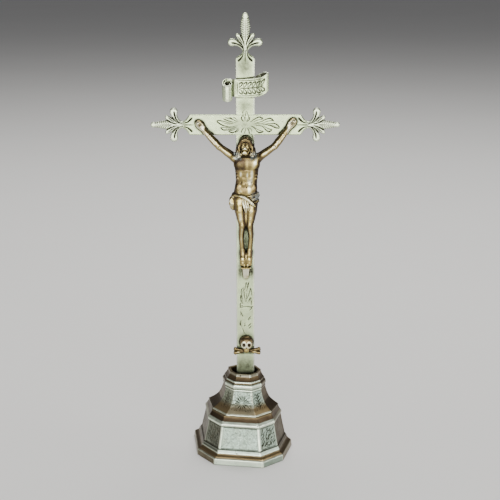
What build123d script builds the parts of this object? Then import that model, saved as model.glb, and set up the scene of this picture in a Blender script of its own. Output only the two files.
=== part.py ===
from build123d import *
import math
import os

os.makedirs("parts", exist_ok=True)

# ---------------------------------------------------------------- frame
# Origin: centre of the foot of the base.  +Z up, the figure looks along -Y,
# +X is to the viewer's right.  Millimetres.

# ---------------------------------------------------------------- driving dimensions
# cross
BAR_W = 13.2            # width of the upright
BAR_T = 2.6             # thickness of both bars
FRONT = -BAR_T / 2      # front face of the cross
BACK = BAR_T / 2        # back face of the cross
CROSS_Z = 249.6         # height of the crossbar's centre line
CROSSBAR_H = 14.2       # height of the crossbar
CROSSBAR_X = 39.5       # half length of the plain part of the crossbar
SIDE_NECK_X = 44.8      # neck of each side finial
UPRIGHT_SHOULDER_Z = 296.3
TOP_NECK_Z = 301.6      # neck of the top finial
TOP_SPEAR = 26.0        # neck to tip, top finial
SIDE_SPEAR = 22.4       # neck to tip, side finials
BAR_BEVEL = 0.45        # bevel on the long front edges

# base: eight sided plan, hand made and a little out of square, turned about Z
BASE_TURN = -9.0        # degrees, as the base stands under the cross
LOWER_PLAN = [(-0.555, -1.0), (0.555, -1.0), (0.945, -0.55), (1.036, 0.30),
              (0.55, 0.983), (-0.66, 0.983), (-1.304, 0.46), (-1.03, -0.54)]
UPPER_PLAN = [(-0.50, -1.0), (0.50, -1.0), (0.96, -0.50), (1.097, 0.23),
              (0.56, 0.96), (-0.66, 0.96), (-1.35, 0.365), (-1.05, -0.50)]
WALL = 2.3              # wall of the cast base
TIER_Z = 35.0           # seam between the two tiers
PLATE_T = 2.0           # top plate of the lower tier
FLANGE_T = 1.6          # foot flange of the upper tier
HATCH_R = 12.5          # opening through plate and flange, for reaching the nut
RIVET_XY = 11.5         # rivets through plate and flange, from the axis in x and in y
LOWER_RINGS = [(0, 33.2), (4.3, 32.8), (4.9, 32.2), (5.6, 31.1), (6.6, 30.2), (7.5, 29.7),
               (7.7, 29.85), (10.2, 28.75), (10.5, 28.2), (16.0, 27.15), (22.0, 26.0), (27.2, 25.1),
               (27.5, 25.45), (28.4, 25.75), (29.3, 25.6), (30.3, 25.0), (31.3, 24.4),
               (33.3, 23.4), (TIER_Z, 22.7)]
UPPER_RINGS = [(TIER_Z, 22.3), (35.8, 22.2), (36.2, 21.6), (38.0, 19.5), (40.0, 17.6), (42.0, 16.1),
               (45.5, 14.6), (50.8, 13.2), (51.2, 13.5), (52.0, 13.5), (52.4, 13.15),
               (53.3, 13.6), (54.7, 13.8), (55.9, 13.5), (56.7, 12.9), (57.2, 12.65), (58.2, 12.6),
               (58.7, 12.1), (60.2, 11.3), (61.7, 10.6), (62.5, 10.4), (63.8, 10.3)]
COLLAR_TOP = 63.8
COLLAR_WALL = 1.7
WEB_BOTTOM = 51.0       # web inside the collar that carries the socket
WEB_TOP = 55.0

# socket that the cross stands in
SOCKET_FLANGE_R = 8.2
SOCKET_TOP = 57.0
SHANK_R = 6.0
SHANK_CLEAR = 0.05      # running clearance in the web
SHANK_BOTTOM = 43.5
TANG_W, TANG_T = 9.0, BAR_T
TANG_BOTTOM = 46.5
SLOT_CLEAR = 0.12
SLOT_BOTTOM = 46.0
WASHER_R, WASHER_T = 9.2, 1.2
NUT_AF, NUT_T = 17.0, 5.2

# small fixings
NAIL_R, NAIL_HEAD_R = 0.75, 1.35
PIN_R = 1.0
HOLE_CLEAR = 0.03

# figure (joint centres)
HANDS = [(-31.9, 249.6), (32.9, 250.7)]
WRISTS = [(-28.5, -3.2, 245.5), (29.4, -3.2, 246.3)]
ELBOWS = [(-18.3, -4.6, 234.8), (20.8, -4.6, 235.3)]
SHOULDERS = [(-7.7, -5.6, 227.1), (9.0, -5.6, 227.0)]
HEAD = (0.2, -8.2, 236.0)
FOOT_NAILS = [(-1.7, 152.6), (2.4, 152.6)]
TITULUS_PINS = [(-4.0, 276.2), (4.0, 276.2)]
SUPP_PIN_Z = 140.4
SKULL_PIN_Z = 86.0


# ---------------------------------------------------------------- helpers
def turned(x, y, degrees=BASE_TURN):
    c, s = math.cos(math.radians(degrees)), math.sin(math.radians(degrees))
    return (x * c - y * s, x * s + y * c)


def plan_sketch(z, a, corners):
    """Section of the base at height z, for front half depth a."""
    with BuildSketch(Plane.XY.offset(z)) as sk:
        Polygon(*[turned(a * x, a * y) for x, y in corners], align=None)
    return sk.sketch


def limb(p0, r0, p1, r1):
    """Round tapered limb from p0 to p1, added to the part being built."""
    d = Vector(*p1) - Vector(*p0)
    with BuildSketch(Plane(origin=p0, z_dir=d)) as start:
        Circle(r0)
    with BuildSketch(Plane(origin=p1, z_dir=d)) as end:
        Circle(r1)
    loft(sections=[start.sketch, end.sketch])


def ball(p, r):
    with Locations(p):
        Sphere(r)


def oval_stack(stack):
    """Loft through ovals (x, y, z, rx, ry)."""
    ovals = []
    for x, y, z, rx, ry in stack:
        with BuildSketch(Plane(origin=(x, y, z))) as oval:
            Ellipse(rx, ry)
        ovals.append(oval.sketch)
    loft(sections=ovals)


def finial_outline(u0, spear, half, direct):
    """Leaf finial in the sketch plane; direct maps (along, across) to plane coordinates."""
    def pts(*uv):
        return [direct(u0 + u, v) for u, v in uv]
    # shoulders, neck and spear leaf in one outline
    Polygon(*pts((-5.3, -half), (-3.6, -4.6), (-1.6, -2.3), (0, -1.85), (3.0, -1.9), (8.0, -2.7),
                 (13.0, -3.15), (spear - 6.0, -2.6), (spear - 1.6, -1.2), (spear, 0),
                 (spear - 1.6, 1.2), (spear - 6.0, 2.6), (13.0, 3.15), (8.0, 2.7), (3.0, 1.9),
                 (0, 1.85), (-1.6, 2.3), (-3.6, 4.6), (-5.3, half)), align=None)
    for s in (-1, 1):
        # club shaped side lobe
        Polygon(*pts((1.2, 0), (2.2, s * 2.5), (3.2, s * 5.0), (3.1, s * 7.6), (2.9, s * 9.4),
                     (3.5, s * 11.2), (5.2, s * 12.1), (7.1, s * 11.5), (8.2, s * 9.6),
                     (8.0, s * 7.4), (7.4, s * 5.2), (6.8, s * 3.0), (6.0, 0)), align=None)
        # small pointed leaf
        Polygon(*pts((4.6, 0), (6.2, s * 3.2), (8.2, s * 5.2), (10.4, s * 6.2), (11.4, s * 5.4),
                     (10.8, s * 3.6), (9.0, 0)), align=None)


# ================================================================ base
# lower tier: hollow casting, plinth, panelled side and rounded band, open below
with BuildPart() as base_lower:
    loft(sections=[plan_sketch(z, a, LOWER_PLAN) for z, a in LOWER_RINGS], ruled=True)
    hollow = [(-1.0, 33.2 - WALL), (4.0, 32.6 - WALL), (10.2, 28.5 - WALL), (27.0, 25.1 - WALL),
              (TIER_Z - PLATE_T, 23.6 - WALL)]
    loft(sections=[plan_sketch(z, a, LOWER_PLAN) for z, a in hollow], ruled=True, mode=Mode.SUBTRACT)
    with Locations((0, 0, TIER_Z - PLATE_T / 2)):
        Cylinder(HATCH_R, PLATE_T + 2, mode=Mode.SUBTRACT)
    with Locations(*[turned(x, y) + (TIER_Z - PLATE_T / 2,) for x in (-RIVET_XY, RIVET_XY) for y in (-RIVET_XY, RIVET_XY)]):
        Cylinder(PIN_R + HOLE_CLEAR, PLATE_T + 2, mode=Mode.SUBTRACT)
base_lower.part.label = "base_lower"
export_step(base_lower.part, "parts/base_lower.step")

# upper tier: concave neck, torus band and open collar, with the web inside
with BuildPart() as base_upper:
    loft(sections=[plan_sketch(z, a, UPPER_PLAN) for z, a in UPPER_RINGS], ruled=True)
    # hollow below the web
    hollow = [(TIER_Z + FLANGE_T, 21.0 - WALL), (38.0, 19.5 - WALL), (42.0, 16.1 - WALL),
              (45.5, 14.6 - WALL), (WEB_BOTTOM, 13.2 - WALL)]
    loft(sections=[plan_sketch(z, a, UPPER_PLAN) for z, a in hollow], ruled=True, mode=Mode.SUBTRACT)
    # open recess above the web
    recess = [(WEB_TOP, 11.4), (58.0, 10.4), (61.2, 10.6 - COLLAR_WALL), (COLLAR_TOP + 1, 10.3 - COLLAR_WALL)]
    loft(sections=[plan_sketch(z, a, UPPER_PLAN) for z, a in recess], ruled=True, mode=Mode.SUBTRACT)
    with Locations((0, 0, TIER_Z)):
        Cylinder(HATCH_R, 2 * FLANGE_T + 1, mode=Mode.SUBTRACT)
    with Locations((0, 0, (WEB_BOTTOM + WEB_TOP) / 2)):
        Cylinder(SHANK_R + SHANK_CLEAR, 10, mode=Mode.SUBTRACT)
    with Locations(*[turned(x, y) + (TIER_Z,) for x in (-RIVET_XY, RIVET_XY) for y in (-RIVET_XY, RIVET_XY)]):
        Cylinder(PIN_R + HOLE_CLEAR, 2 * FLANGE_T + 1, mode=Mode.SUBTRACT)
base_upper.part.label = "base_upper"
export_step(base_upper.part, "parts/base_upper.step")

# four rivets through the plate of the lower tier and the flange of the upper tier
with BuildPart() as tier_rivets:
    for x in (-RIVET_XY, RIVET_XY):
        for y in (-RIVET_XY, RIVET_XY):
            rx, ry = turned(x, y)
            with Locations((rx, ry, TIER_Z - PLATE_T - 1.0)):
                Cylinder(1.9, 1.0, align=(Align.CENTER, Align.CENTER, Align.MIN))
            with Locations((rx, ry, TIER_Z - PLATE_T)):
                Cylinder(PIN_R, PLATE_T + FLANGE_T, align=(Align.CENTER, Align.CENTER, Align.MIN))
            with Locations((rx, ry, TIER_Z + FLANGE_T)):
                Cylinder(1.7, 0.9, align=(Align.CENTER, Align.CENTER, Align.MIN))
tier_rivets.part.label = "tier_rivets"
export_step(tier_rivets.part, "parts/tier_rivets.step")

# ================================================================ socket
# turned socket: flange on the web, shank through it, slot for the tang
with BuildPart() as socket_plug:
    with BuildSketch(Plane.XZ):
        with BuildLine():
            Polyline((0, SHANK_BOTTOM), (SHANK_R - 0.5, SHANK_BOTTOM), (SHANK_R, SHANK_BOTTOM + 0.5),
                     (SHANK_R, WEB_TOP), (SOCKET_FLANGE_R, WEB_TOP), (SOCKET_FLANGE_R, SOCKET_TOP - 0.4),
                     (SOCKET_FLANGE_R - 0.4, SOCKET_TOP), (0, SOCKET_TOP), close=True)
        make_face()
    revolve(axis=Axis.Z)
    with Locations((0, 0, SLOT_BOTTOM)):
        Box(TANG_W + 2 * SLOT_CLEAR, TANG_T + 2 * SLOT_CLEAR, 20,
            align=(Align.CENTER, Align.CENTER, Align.MIN), mode=Mode.SUBTRACT)
socket_plug.part.label = "socket_plug"
export_step(socket_plug.part, "parts/socket_plug.step")

with BuildPart() as socket_washer:
    with BuildSketch(Plane.XY.offset(WEB_BOTTOM - WASHER_T)):
        Circle(WASHER_R)
        Circle(SHANK_R + 0.15, mode=Mode.SUBTRACT)
    extrude(amount=WASHER_T)
socket_washer.part.label = "socket_washer"
export_step(socket_washer.part, "parts/socket_washer.step")

with BuildPart() as socket_nut:
    with BuildSketch(Plane.XY.offset(WEB_BOTTOM - WASHER_T - NUT_T)):
        RegularPolygon(NUT_AF / 2, 6, major_radius=False)
        Circle(SHANK_R + 0.02, mode=Mode.SUBTRACT)
    extrude(amount=NUT_T)
socket_nut.part.label = "socket_nut"
export_step(socket_nut.part, "parts/socket_nut.step")

# ================================================================ cross
# upright: flat bar with the top finial, tang below, front half let out at the lap
with BuildPart() as upright:
    with BuildSketch(Plane.XZ) as upright_sk:
        Polygon((-BAR_W / 2, SOCKET_TOP), (BAR_W / 2, SOCKET_TOP), (BAR_W / 2, UPRIGHT_SHOULDER_Z),
                (-BAR_W / 2, UPRIGHT_SHOULDER_Z), align=None)
        Polygon((-TANG_W / 2, TANG_BOTTOM), (TANG_W / 2, TANG_BOTTOM), (TANG_W / 2, SOCKET_TOP + 1),
                (-TANG_W / 2, SOCKET_TOP + 1), align=None)
        finial_outline(TOP_NECK_Z, TOP_SPEAR, BAR_W / 2, lambda u, v: (v, u))
    extrude(amount=BAR_T / 2, both=True)
    long_edges = (upright.edges().filter_by(Axis.Z)
                  .filter_by(lambda e: e.length > 200 and e.center().Y < 0))
    chamfer(long_edges, BAR_BEVEL)
    # lap: the crossbar lies in the front half
    with Locations((0, FRONT, CROSS_Z)):
        Box(BAR_W + 2, BAR_T, CROSSBAR_H, mode=Mode.SUBTRACT)
    # holes for the pins and nails
    with Locations(*[Location((x, 0, z), (90, 0, 0)) for x, z in
                     FOOT_NAILS + TITULUS_PINS + [(0, SUPP_PIN_Z), (0, SKULL_PIN_Z)]]):
        Cylinder(NAIL_R + HOLE_CLEAR, 2 * BAR_T, mode=Mode.SUBTRACT)
upright.part.label = "upright"
export_step(upright.part, "parts/upright.step")

# crossbar: flat bar with a finial at each end, back half let out at the lap
with BuildPart() as crossbar:
    with BuildSketch(Plane.XZ) as crossbar_sk:
        with Locations((0, CROSS_Z)):
            Rectangle(2 * CROSSBAR_X, CROSSBAR_H)
        finial_outline(SIDE_NECK_X, SIDE_SPEAR, CROSSBAR_H / 2, lambda u, v: (u, CROSS_Z + v))
        finial_outline(SIDE_NECK_X, SIDE_SPEAR, CROSSBAR_H / 2, lambda u, v: (-u, CROSS_Z + v))
    extrude(amount=BAR_T / 2, both=True)
    with Locations((0, BACK, CROSS_Z)):
        Box(BAR_W, BAR_T, CROSSBAR_H + 2, mode=Mode.SUBTRACT)
    with Locations(*[Location((x, 0, z), (90, 0, 0)) for x, z in HANDS]):
        Cylinder(NAIL_R + HOLE_CLEAR, 2 * BAR_T, mode=Mode.SUBTRACT)
crossbar.part.label = "crossbar"
export_step(crossbar.part, "parts/crossbar.step")

# titulus: thin scroll with its left end rolled up, right end lifted
TIT_T = 1.3
with BuildPart() as titulus:
    with BuildSketch(Plane.XZ.offset(-FRONT)):
        with BuildLine():
            Spline((-9.5, 282.0), (-3.0, 282.3), (5.0, 283.4), (10.0, 285.2), (14.6, 287.2))
            Line((14.6, 287.2), (15.6, 273.2))
            Spline((15.6, 273.2), (11.0, 271.3), (5.0, 269.8), (-2.0, 269.4), (-9.5, 269.8))
            Line((-9.5, 269.8), (-9.5, 282.0))
        make_face()
    extrude(amount=TIT_T)
    # rolled end
    with BuildSketch(Plane(origin=(-12.2, FRONT - 3.65, 266.0), z_dir=(0.03, 0, 1))):
        Circle(3.6)
    extrude(amount=15.6)
    with Locations(*[Location((x, FRONT, z), (90, 0, 0)) for x, z in TITULUS_PINS]):
        Cylinder(NAIL_R + HOLE_CLEAR, 2 * TIT_T + 1, mode=Mode.SUBTRACT)
titulus.part.label = "titulus"
export_step(titulus.part, "parts/titulus.step")

# titulus pins, riveted over at the back
with BuildPart() as titulus_pins:
    for x, z in TITULUS_PINS:
        with BuildSketch(Plane(origin=(x, BACK, z), z_dir=(0, -1, 0))):
            Circle(NAIL_R)
        extrude(amount=BAR_T + TIT_T)
        with BuildSketch(Plane(origin=(x, BACK, z), z_dir=(0, 1, 0))):
            Circle(NAIL_HEAD_R)
        extrude(amount=0.6)
titulus_pins.part.label = "titulus_pins"
export_step(titulus_pins.part, "parts/titulus_pins.step")

# foot rest: thin plate on a tapered bracket, on the front of the upright
with BuildPart() as suppedaneum:
    for z, w, d in [(145.6, 5.4, 6.2), (143.0, 5.2, 5.4), (139.0, 4.4, 3.8), (136.6, 3.2, 2.6), (135.4, 1.6, 1.6)]:
        with BuildSketch(Plane.XY.offset(z)):
            with Locations((0, FRONT)):
                Rectangle(w, d, align=(Align.CENTER, Align.MAX))
    loft(ruled=True)
    with Locations((0.3, FRONT, 145.3)):
        Box(7.4, 8.0, 1.2, align=(Align.CENTER, Align.MAX, Align.MIN))
    with Locations(Location((0, FRONT, SUPP_PIN_Z), (90, 0, 0))):
        Cylinder(NAIL_R + HOLE_CLEAR, 4.0, mode=Mode.SUBTRACT)
suppedaneum.part.label = "suppedaneum"
export_step(suppedaneum.part, "parts/suppedaneum.step")

with BuildPart() as suppedaneum_pin:
    with BuildSketch(Plane(origin=(0, BACK, SUPP_PIN_Z), z_dir=(0, -1, 0))):
        Circle(NAIL_R)
    extrude(amount=BAR_T + 1.9)
    with BuildSketch(Plane(origin=(0, BACK, SUPP_PIN_Z), z_dir=(0, 1, 0))):
        Circle(NAIL_HEAD_R)
    extrude(amount=0.6)
suppedaneum_pin.part.label = "suppedaneum_pin"
export_step(suppedaneum_pin.part, "parts/suppedaneum_pin.step")

# ================================================================ figure
with BuildPart() as corpus:
    # trunk
    oval_stack([(0.6, -5.8, 190.5, 7.4, 4.0), (-0.2, -6.0, 198.0, 8.6, 4.5), (0.6, -6.0, 205.0, 7.2, 3.9),
                (0.9, -6.2, 212.0, 7.2, 3.9), (1.0, -6.2, 220.0, 8.3, 4.5), (0.8, -5.8, 226.0, 7.6, 3.9),
                (0.5, -5.9, 229.4, 3.6, 2.8)])
    # neck and head
    limb((0.5, -6.2, 226.0), 2.9, (0.2, -7.6, 233.0), 2.7)
    oval_stack([(0.4, -9.8, 230.2, 1.9, 2.0), (0.3, -8.9, 233.0, 4.2, 3.9), (0.1, -8.2, 236.4, 4.9, 4.7),
                (0.0, -7.6, 239.6, 4.0, 4.1), (-0.1, -7.3, 241.6, 1.6, 1.7)])
    # hair falling to the shoulders
    limb((-3.6, -6.4, 238.0), 2.6, (-4.8, -6.4, 230.4), 2.2)
    limb((3.8, -6.4, 238.0), 2.6, (5.4, -6.4, 230.2), 2.2)
    # arms
    for hand, wrist, elbow, shoulder in zip(HANDS, WRISTS, ELBOWS, SHOULDERS):
        limb(shoulder, 3.1, elbow, 2.3)
        limb(elbow, 2.3, wrist, 1.55)
        ball(shoulder, 3.3)
        ball(elbow, 2.32)
        ball(wrist, 1.6)
        limb(wrist, 1.5, (hand[0], -2.8, hand[1]), 1.7)
        with Locations(Location((hand[0], FRONT, hand[1]), (90, 0, 0))):
            Cylinder(2.5, 2.5, align=(Align.CENTER, Align.CENTER, Align.MIN))
    # legs
    for s, hip, knee, ankle in [(-1, (-4.0, -6.0, 195.0), (-3.0, -8.9, 177.6), (-1.9, -6.4, 158.4)),
                                (1, (4.3, -6.0, 195.0), (3.5, -8.9, 177.6), (2.6, -6.4, 158.4))]:
        limb(hip, 4.3, knee, 3.15)
        limb(knee, 3.1, ankle, 1.95)
        ball(knee, 3.2)
        ball(ankle, 2.1)
        limb(ankle, 2.1, (ankle[0] - 0.1, -7.4, 148.6), 2.0)
        ball((ankle[0] - 0.1, -7.4, 148.6), 2.0)
    # lugs behind the feet, down to the upright
    with Locations((0.4, FRONT, 152.6)):
        Box(7.6, 6.0, 5.0, align=(Align.CENTER, Align.MAX, Align.CENTER))
    # loincloth with the knot hanging at the left
    oval_stack([(-0.3, -6.1, 189.6, 8.2, 5.2), (-0.6, -6.1, 196.0, 9.4, 5.4), (-0.2, -6.1, 202.0, 8.5, 5.0)])
    limb((-9.6, -5.6, 199.0), 2.2, (-9.8, -5.4, 189.6), 2.0)
    # flat back where the casting faces the cross
    with Locations((0, FRONT, 200)):
        Box(120, 30, 140, align=(Align.CENTER, Align.MIN, Align.CENTER), mode=Mode.SUBTRACT)
    # nail holes
    with Locations(*[Location((x, -4, z), (90, 0, 0)) for x, z in HANDS + FOOT_NAILS]):
        Cylinder(NAIL_R + HOLE_CLEAR, 12, mode=Mode.SUBTRACT)
corpus.part.label = "corpus"
export_step(corpus.part, "parts/corpus.step")

# nails through the hands, riveted over behind the crossbar
HAND_FRONT = FRONT - 2.5
with BuildPart() as hand_nails:
    for x, z in HANDS:
        with BuildSketch(Plane(origin=(x, BACK, z), z_dir=(0, -1, 0))):
            Circle(NAIL_R)
        extrude(amount=BACK - HAND_FRONT + 1.6)
        with BuildSketch(Plane(origin=(x, BACK, z), z_dir=(0, 1, 0))):
            Circle(NAIL_HEAD_R)
        extrude(amount=0.6)
hand_nails.part.label = "hand_nails"
export_step(hand_nails.part, "parts/hand_nails.step")

# nails through the feet, riveted over behind the upright
with BuildPart() as foot_nails:
    for x, z in FOOT_NAILS:
        with BuildSketch(Plane(origin=(x, BACK, z), z_dir=(0, -1, 0))):
            Circle(NAIL_R)
        extrude(amount=BACK + 9.7)
        with BuildSketch(Plane(origin=(x, BACK, z), z_dir=(0, 1, 0))):
            Circle(NAIL_HEAD_R)
        extrude(amount=0.6)
foot_nails.part.label = "foot_nails"
export_step(foot_nails.part, "parts/foot_nails.step")

# ================================================================ skull and crossed bones
with BuildPart() as skull_and_bones:
    with Locations((0.4, FRONT - 0.9, 87.0)):
        Sphere(5.0)
    with BuildSketch(Plane.XY.offset(80.2)):
        with Locations((0.4, FRONT)):
            Rectangle(5.4, 3.6, align=(Align.CENTER, Align.MAX))
    extrude(amount=5.0)
    for s in (-1, 1):
        p0, p1 = (0.5 - s * 8.0, FRONT - 1.0, 78.8), (0.5 + s * 8.0, FRONT - 1.0, 82.2)
        limb(p0, 1.05, p1, 1.05)
        for px, pz in [(p0[0], p0[2]), (p1[0], p1[2])]:
            ball((px, FRONT - 1.0, pz + 0.9), 1.35)
            ball((px, FRONT - 1.0, pz - 0.9), 1.35)
    with Locations((0, FRONT, 85)):
        Box(40, 12, 30, align=(Align.CENTER, Align.MIN, Align.CENTER), mode=Mode.SUBTRACT)
    with Locations(Location((0, FRONT, SKULL_PIN_Z), (90, 0, 0))):
        Cylinder(NAIL_R + HOLE_CLEAR, 4.0, mode=Mode.SUBTRACT)
skull_and_bones.part.label = "skull_and_bones"
export_step(skull_and_bones.part, "parts/skull_and_bones.step")

with BuildPart() as skull_pin:
    with BuildSketch(Plane(origin=(0, BACK, SKULL_PIN_Z), z_dir=(0, -1, 0))):
        Circle(NAIL_R)
    extrude(amount=BAR_T + 1.9)
    with BuildSketch(Plane(origin=(0, BACK, SKULL_PIN_Z), z_dir=(0, 1, 0))):
        Circle(NAIL_HEAD_R)
    extrude(amount=0.6)
skull_pin.part.label = "skull_pin"
export_step(skull_pin.part, "parts/skull_pin.step")
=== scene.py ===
import math

import bpy
import numpy as np
from mathutils import Euler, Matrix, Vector
from mathutils.geometry import tessellate_polygon


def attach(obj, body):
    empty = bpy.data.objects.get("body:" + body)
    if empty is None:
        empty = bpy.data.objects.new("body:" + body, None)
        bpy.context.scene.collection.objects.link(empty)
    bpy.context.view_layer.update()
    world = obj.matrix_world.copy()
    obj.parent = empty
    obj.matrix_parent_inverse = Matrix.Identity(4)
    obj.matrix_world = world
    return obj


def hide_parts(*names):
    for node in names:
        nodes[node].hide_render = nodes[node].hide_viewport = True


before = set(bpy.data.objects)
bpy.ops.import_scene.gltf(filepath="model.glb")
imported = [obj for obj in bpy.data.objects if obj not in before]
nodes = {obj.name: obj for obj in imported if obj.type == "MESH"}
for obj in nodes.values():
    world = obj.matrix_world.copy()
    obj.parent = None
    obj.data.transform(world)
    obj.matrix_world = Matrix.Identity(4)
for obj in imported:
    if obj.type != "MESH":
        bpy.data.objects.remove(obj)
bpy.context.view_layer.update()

MM = 0.001

# dimensions shared with the construction, in millimetres
BAR_W, BAR_T = 13.2, 2.6
FRONT = -BAR_T / 2
BACK = BAR_T / 2
CROSS_Z, CROSSBAR_H, CROSSBAR_X = 249.6, 14.2, 39.5
SIDE_NECK_X, TOP_NECK_Z = 44.8, 301.6
TOP_SPEAR, SIDE_SPEAR = 26.0, 22.4
SOCKET_TOP, TANG_W, TANG_BOTTOM = 57.0, 9.0, 46.5
BASE_TURN = math.radians(-9.0)


# ------------------------------------------------------------------ volumes
def smin(a, b, k):
    if k <= 0:
        return np.minimum(a, b)
    h = np.clip(0.5 + 0.5 * (b - a) / k, 0.0, 1.0)
    return b + (a - b) * h - k * h * (1.0 - h)


def smax(a, b, k):
    return -smin(-a, -b, k)


class Volume:
    """A signed field on a regular grid, negative inside, in millimetres."""

    def __init__(self, lo, hi, step):
        self.step = np.array([step] * 3 if np.isscalar(step) else step, float)
        self.lo = np.array(lo, float)
        self.ax = [np.arange(lo[i], hi[i] + self.step[i], self.step[i], dtype=np.float32) for i in range(3)]
        self.f = np.full([len(a) for a in self.ax], 3.0, np.float32)

    def block(self, lo, hi):
        sl = []
        for i in range(3):
            a = max(int(np.searchsorted(self.ax[i], lo[i])) - 1, 0)
            b = min(int(np.searchsorted(self.ax[i], hi[i])) + 1, len(self.ax[i]))
            sl.append(slice(a, b))
        x, y, z = (self.ax[i][sl[i]] for i in range(3))
        return tuple(sl), x[:, None, None], y[None, :, None], z[None, None, :]

    def add(self, prim, k=0.6, pad=0.8):
        fn, lo, hi = prim
        sl, x, y, z = self.block(np.array(lo) - k - pad, np.array(hi) + k + pad)
        if min(s.stop - s.start for s in sl) > 0:
            self.f[sl] = smin(self.f[sl], fn(x, y, z), k)

    def cut(self, prim, k=0.3, pad=0.8):
        fn, lo, hi = prim
        sl, x, y, z = self.block(np.array(lo) - k - pad, np.array(hi) + k + pad)
        if min(s.stop - s.start for s in sl) > 0:
            self.f[sl] = smax(self.f[sl], -fn(x, y, z), k)


def cone(p0, r0, p1, r1, squash=(1.0, 1.0, 1.0)):
    """Round limb from p0 to p1; squash stretches the distance along x, y, z."""
    p0, p1, s = np.array(p0, float), np.array(p1, float), np.array(squash, float)
    a, b = p0 * s, p1 * s
    d = b - a
    dd = float(d @ d) + 1e-9

    def fn(x, y, z):
        qx, qy, qz = x * s[0] - a[0], y * s[1] - a[1], z * s[2] - a[2]
        t = np.clip((qx * d[0] + qy * d[1] + qz * d[2]) / dd, 0, 1)
        dist = np.sqrt((qx - t * d[0]) ** 2 + (qy - t * d[1]) ** 2 + (qz - t * d[2]) ** 2)
        return (dist - (r0 + t * (r1 - r0))) / s.max()

    r = max(r0, r1) / s.min()
    return fn, np.minimum(p0, p1) - r, np.maximum(p0, p1) + r


def path(points, radii, squash=(1.0, 1.0, 1.0)):
    """Limb through several points."""
    prims = [cone(points[i], radii[i], points[i + 1], radii[i + 1], squash) for i in range(len(points) - 1)]
    lo = np.min([p[1] for p in prims], axis=0)
    hi = np.max([p[2] for p in prims], axis=0)

    def fn(x, y, z):
        out = prims[0][0](x, y, z)
        for p in prims[1:]:
            out = smin(out, p[0](x, y, z), 0.15)
        return out

    return fn, lo, hi


def oval(c, r, turn=(0, 0, 0)):
    """Ellipsoid at c with half axes r, turned by degrees about x, y, z."""
    c, r = np.array(c, float), np.array(r, float)
    m = np.array(Euler([math.radians(t) for t in turn]).to_matrix()).T

    def fn(x, y, z):
        px, py, pz = x - c[0], y - c[1], z - c[2]
        q = [m[i, 0] * px + m[i, 1] * py + m[i, 2] * pz for i in range(3)]
        k0 = np.sqrt(sum((q[i] / r[i]) ** 2 for i in range(3)))
        k1 = np.sqrt(sum((q[i] / r[i] ** 2) ** 2 for i in range(3))) + 1e-6
        return k0 * (k0 - 1.0) / k1

    e = np.sqrt(((m.T * r) ** 2).sum(axis=1))
    return fn, c - e, c + e


def stack(rows, power=2.0):
    """Upright form through rows of (z, cx, cy, rx, ry)."""
    t = np.array(rows, float)

    def fn(x, y, z):
        cx, cy, rx, ry = (np.interp(z, t[:, 0], t[:, i]) for i in range(1, 5))
        q = (np.abs((x - cx) / rx) ** power + np.abs((y - cy) / ry) ** power) ** (1.0 / power)
        side = (q - 1.0) * np.minimum(rx, ry)
        return np.maximum(side, np.maximum(t[0, 0] - z, z - t[-1, 0]))

    return (fn, np.array([(t[:, 1] - t[:, 3]).min(), (t[:, 2] - t[:, 4]).min(), t[0, 0]]),
            np.array([(t[:, 1] + t[:, 3]).max(), (t[:, 2] + t[:, 4]).max(), t[-1, 0]]))


def half_space_back(y0, lo, hi):
    """Everything behind the plane y = y0, inside a box."""
    return (lambda x, y, z: y0 - y + 0 * x + 0 * z), np.array(lo, float), np.array(hi, float)


EDGES = [((0, 0, 0), (1, 0, 0)), ((0, 1, 0), (1, 1, 0)), ((0, 0, 1), (1, 0, 1)), ((0, 1, 1), (1, 1, 1)),
         ((0, 0, 0), (0, 1, 0)), ((1, 0, 0), (1, 1, 0)), ((0, 0, 1), (0, 1, 1)), ((1, 0, 1), (1, 1, 1)),
         ((0, 0, 0), (0, 0, 1)), ((1, 0, 0), (1, 0, 1)), ((0, 1, 0), (0, 1, 1)), ((1, 1, 0), (1, 1, 1))]


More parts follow.
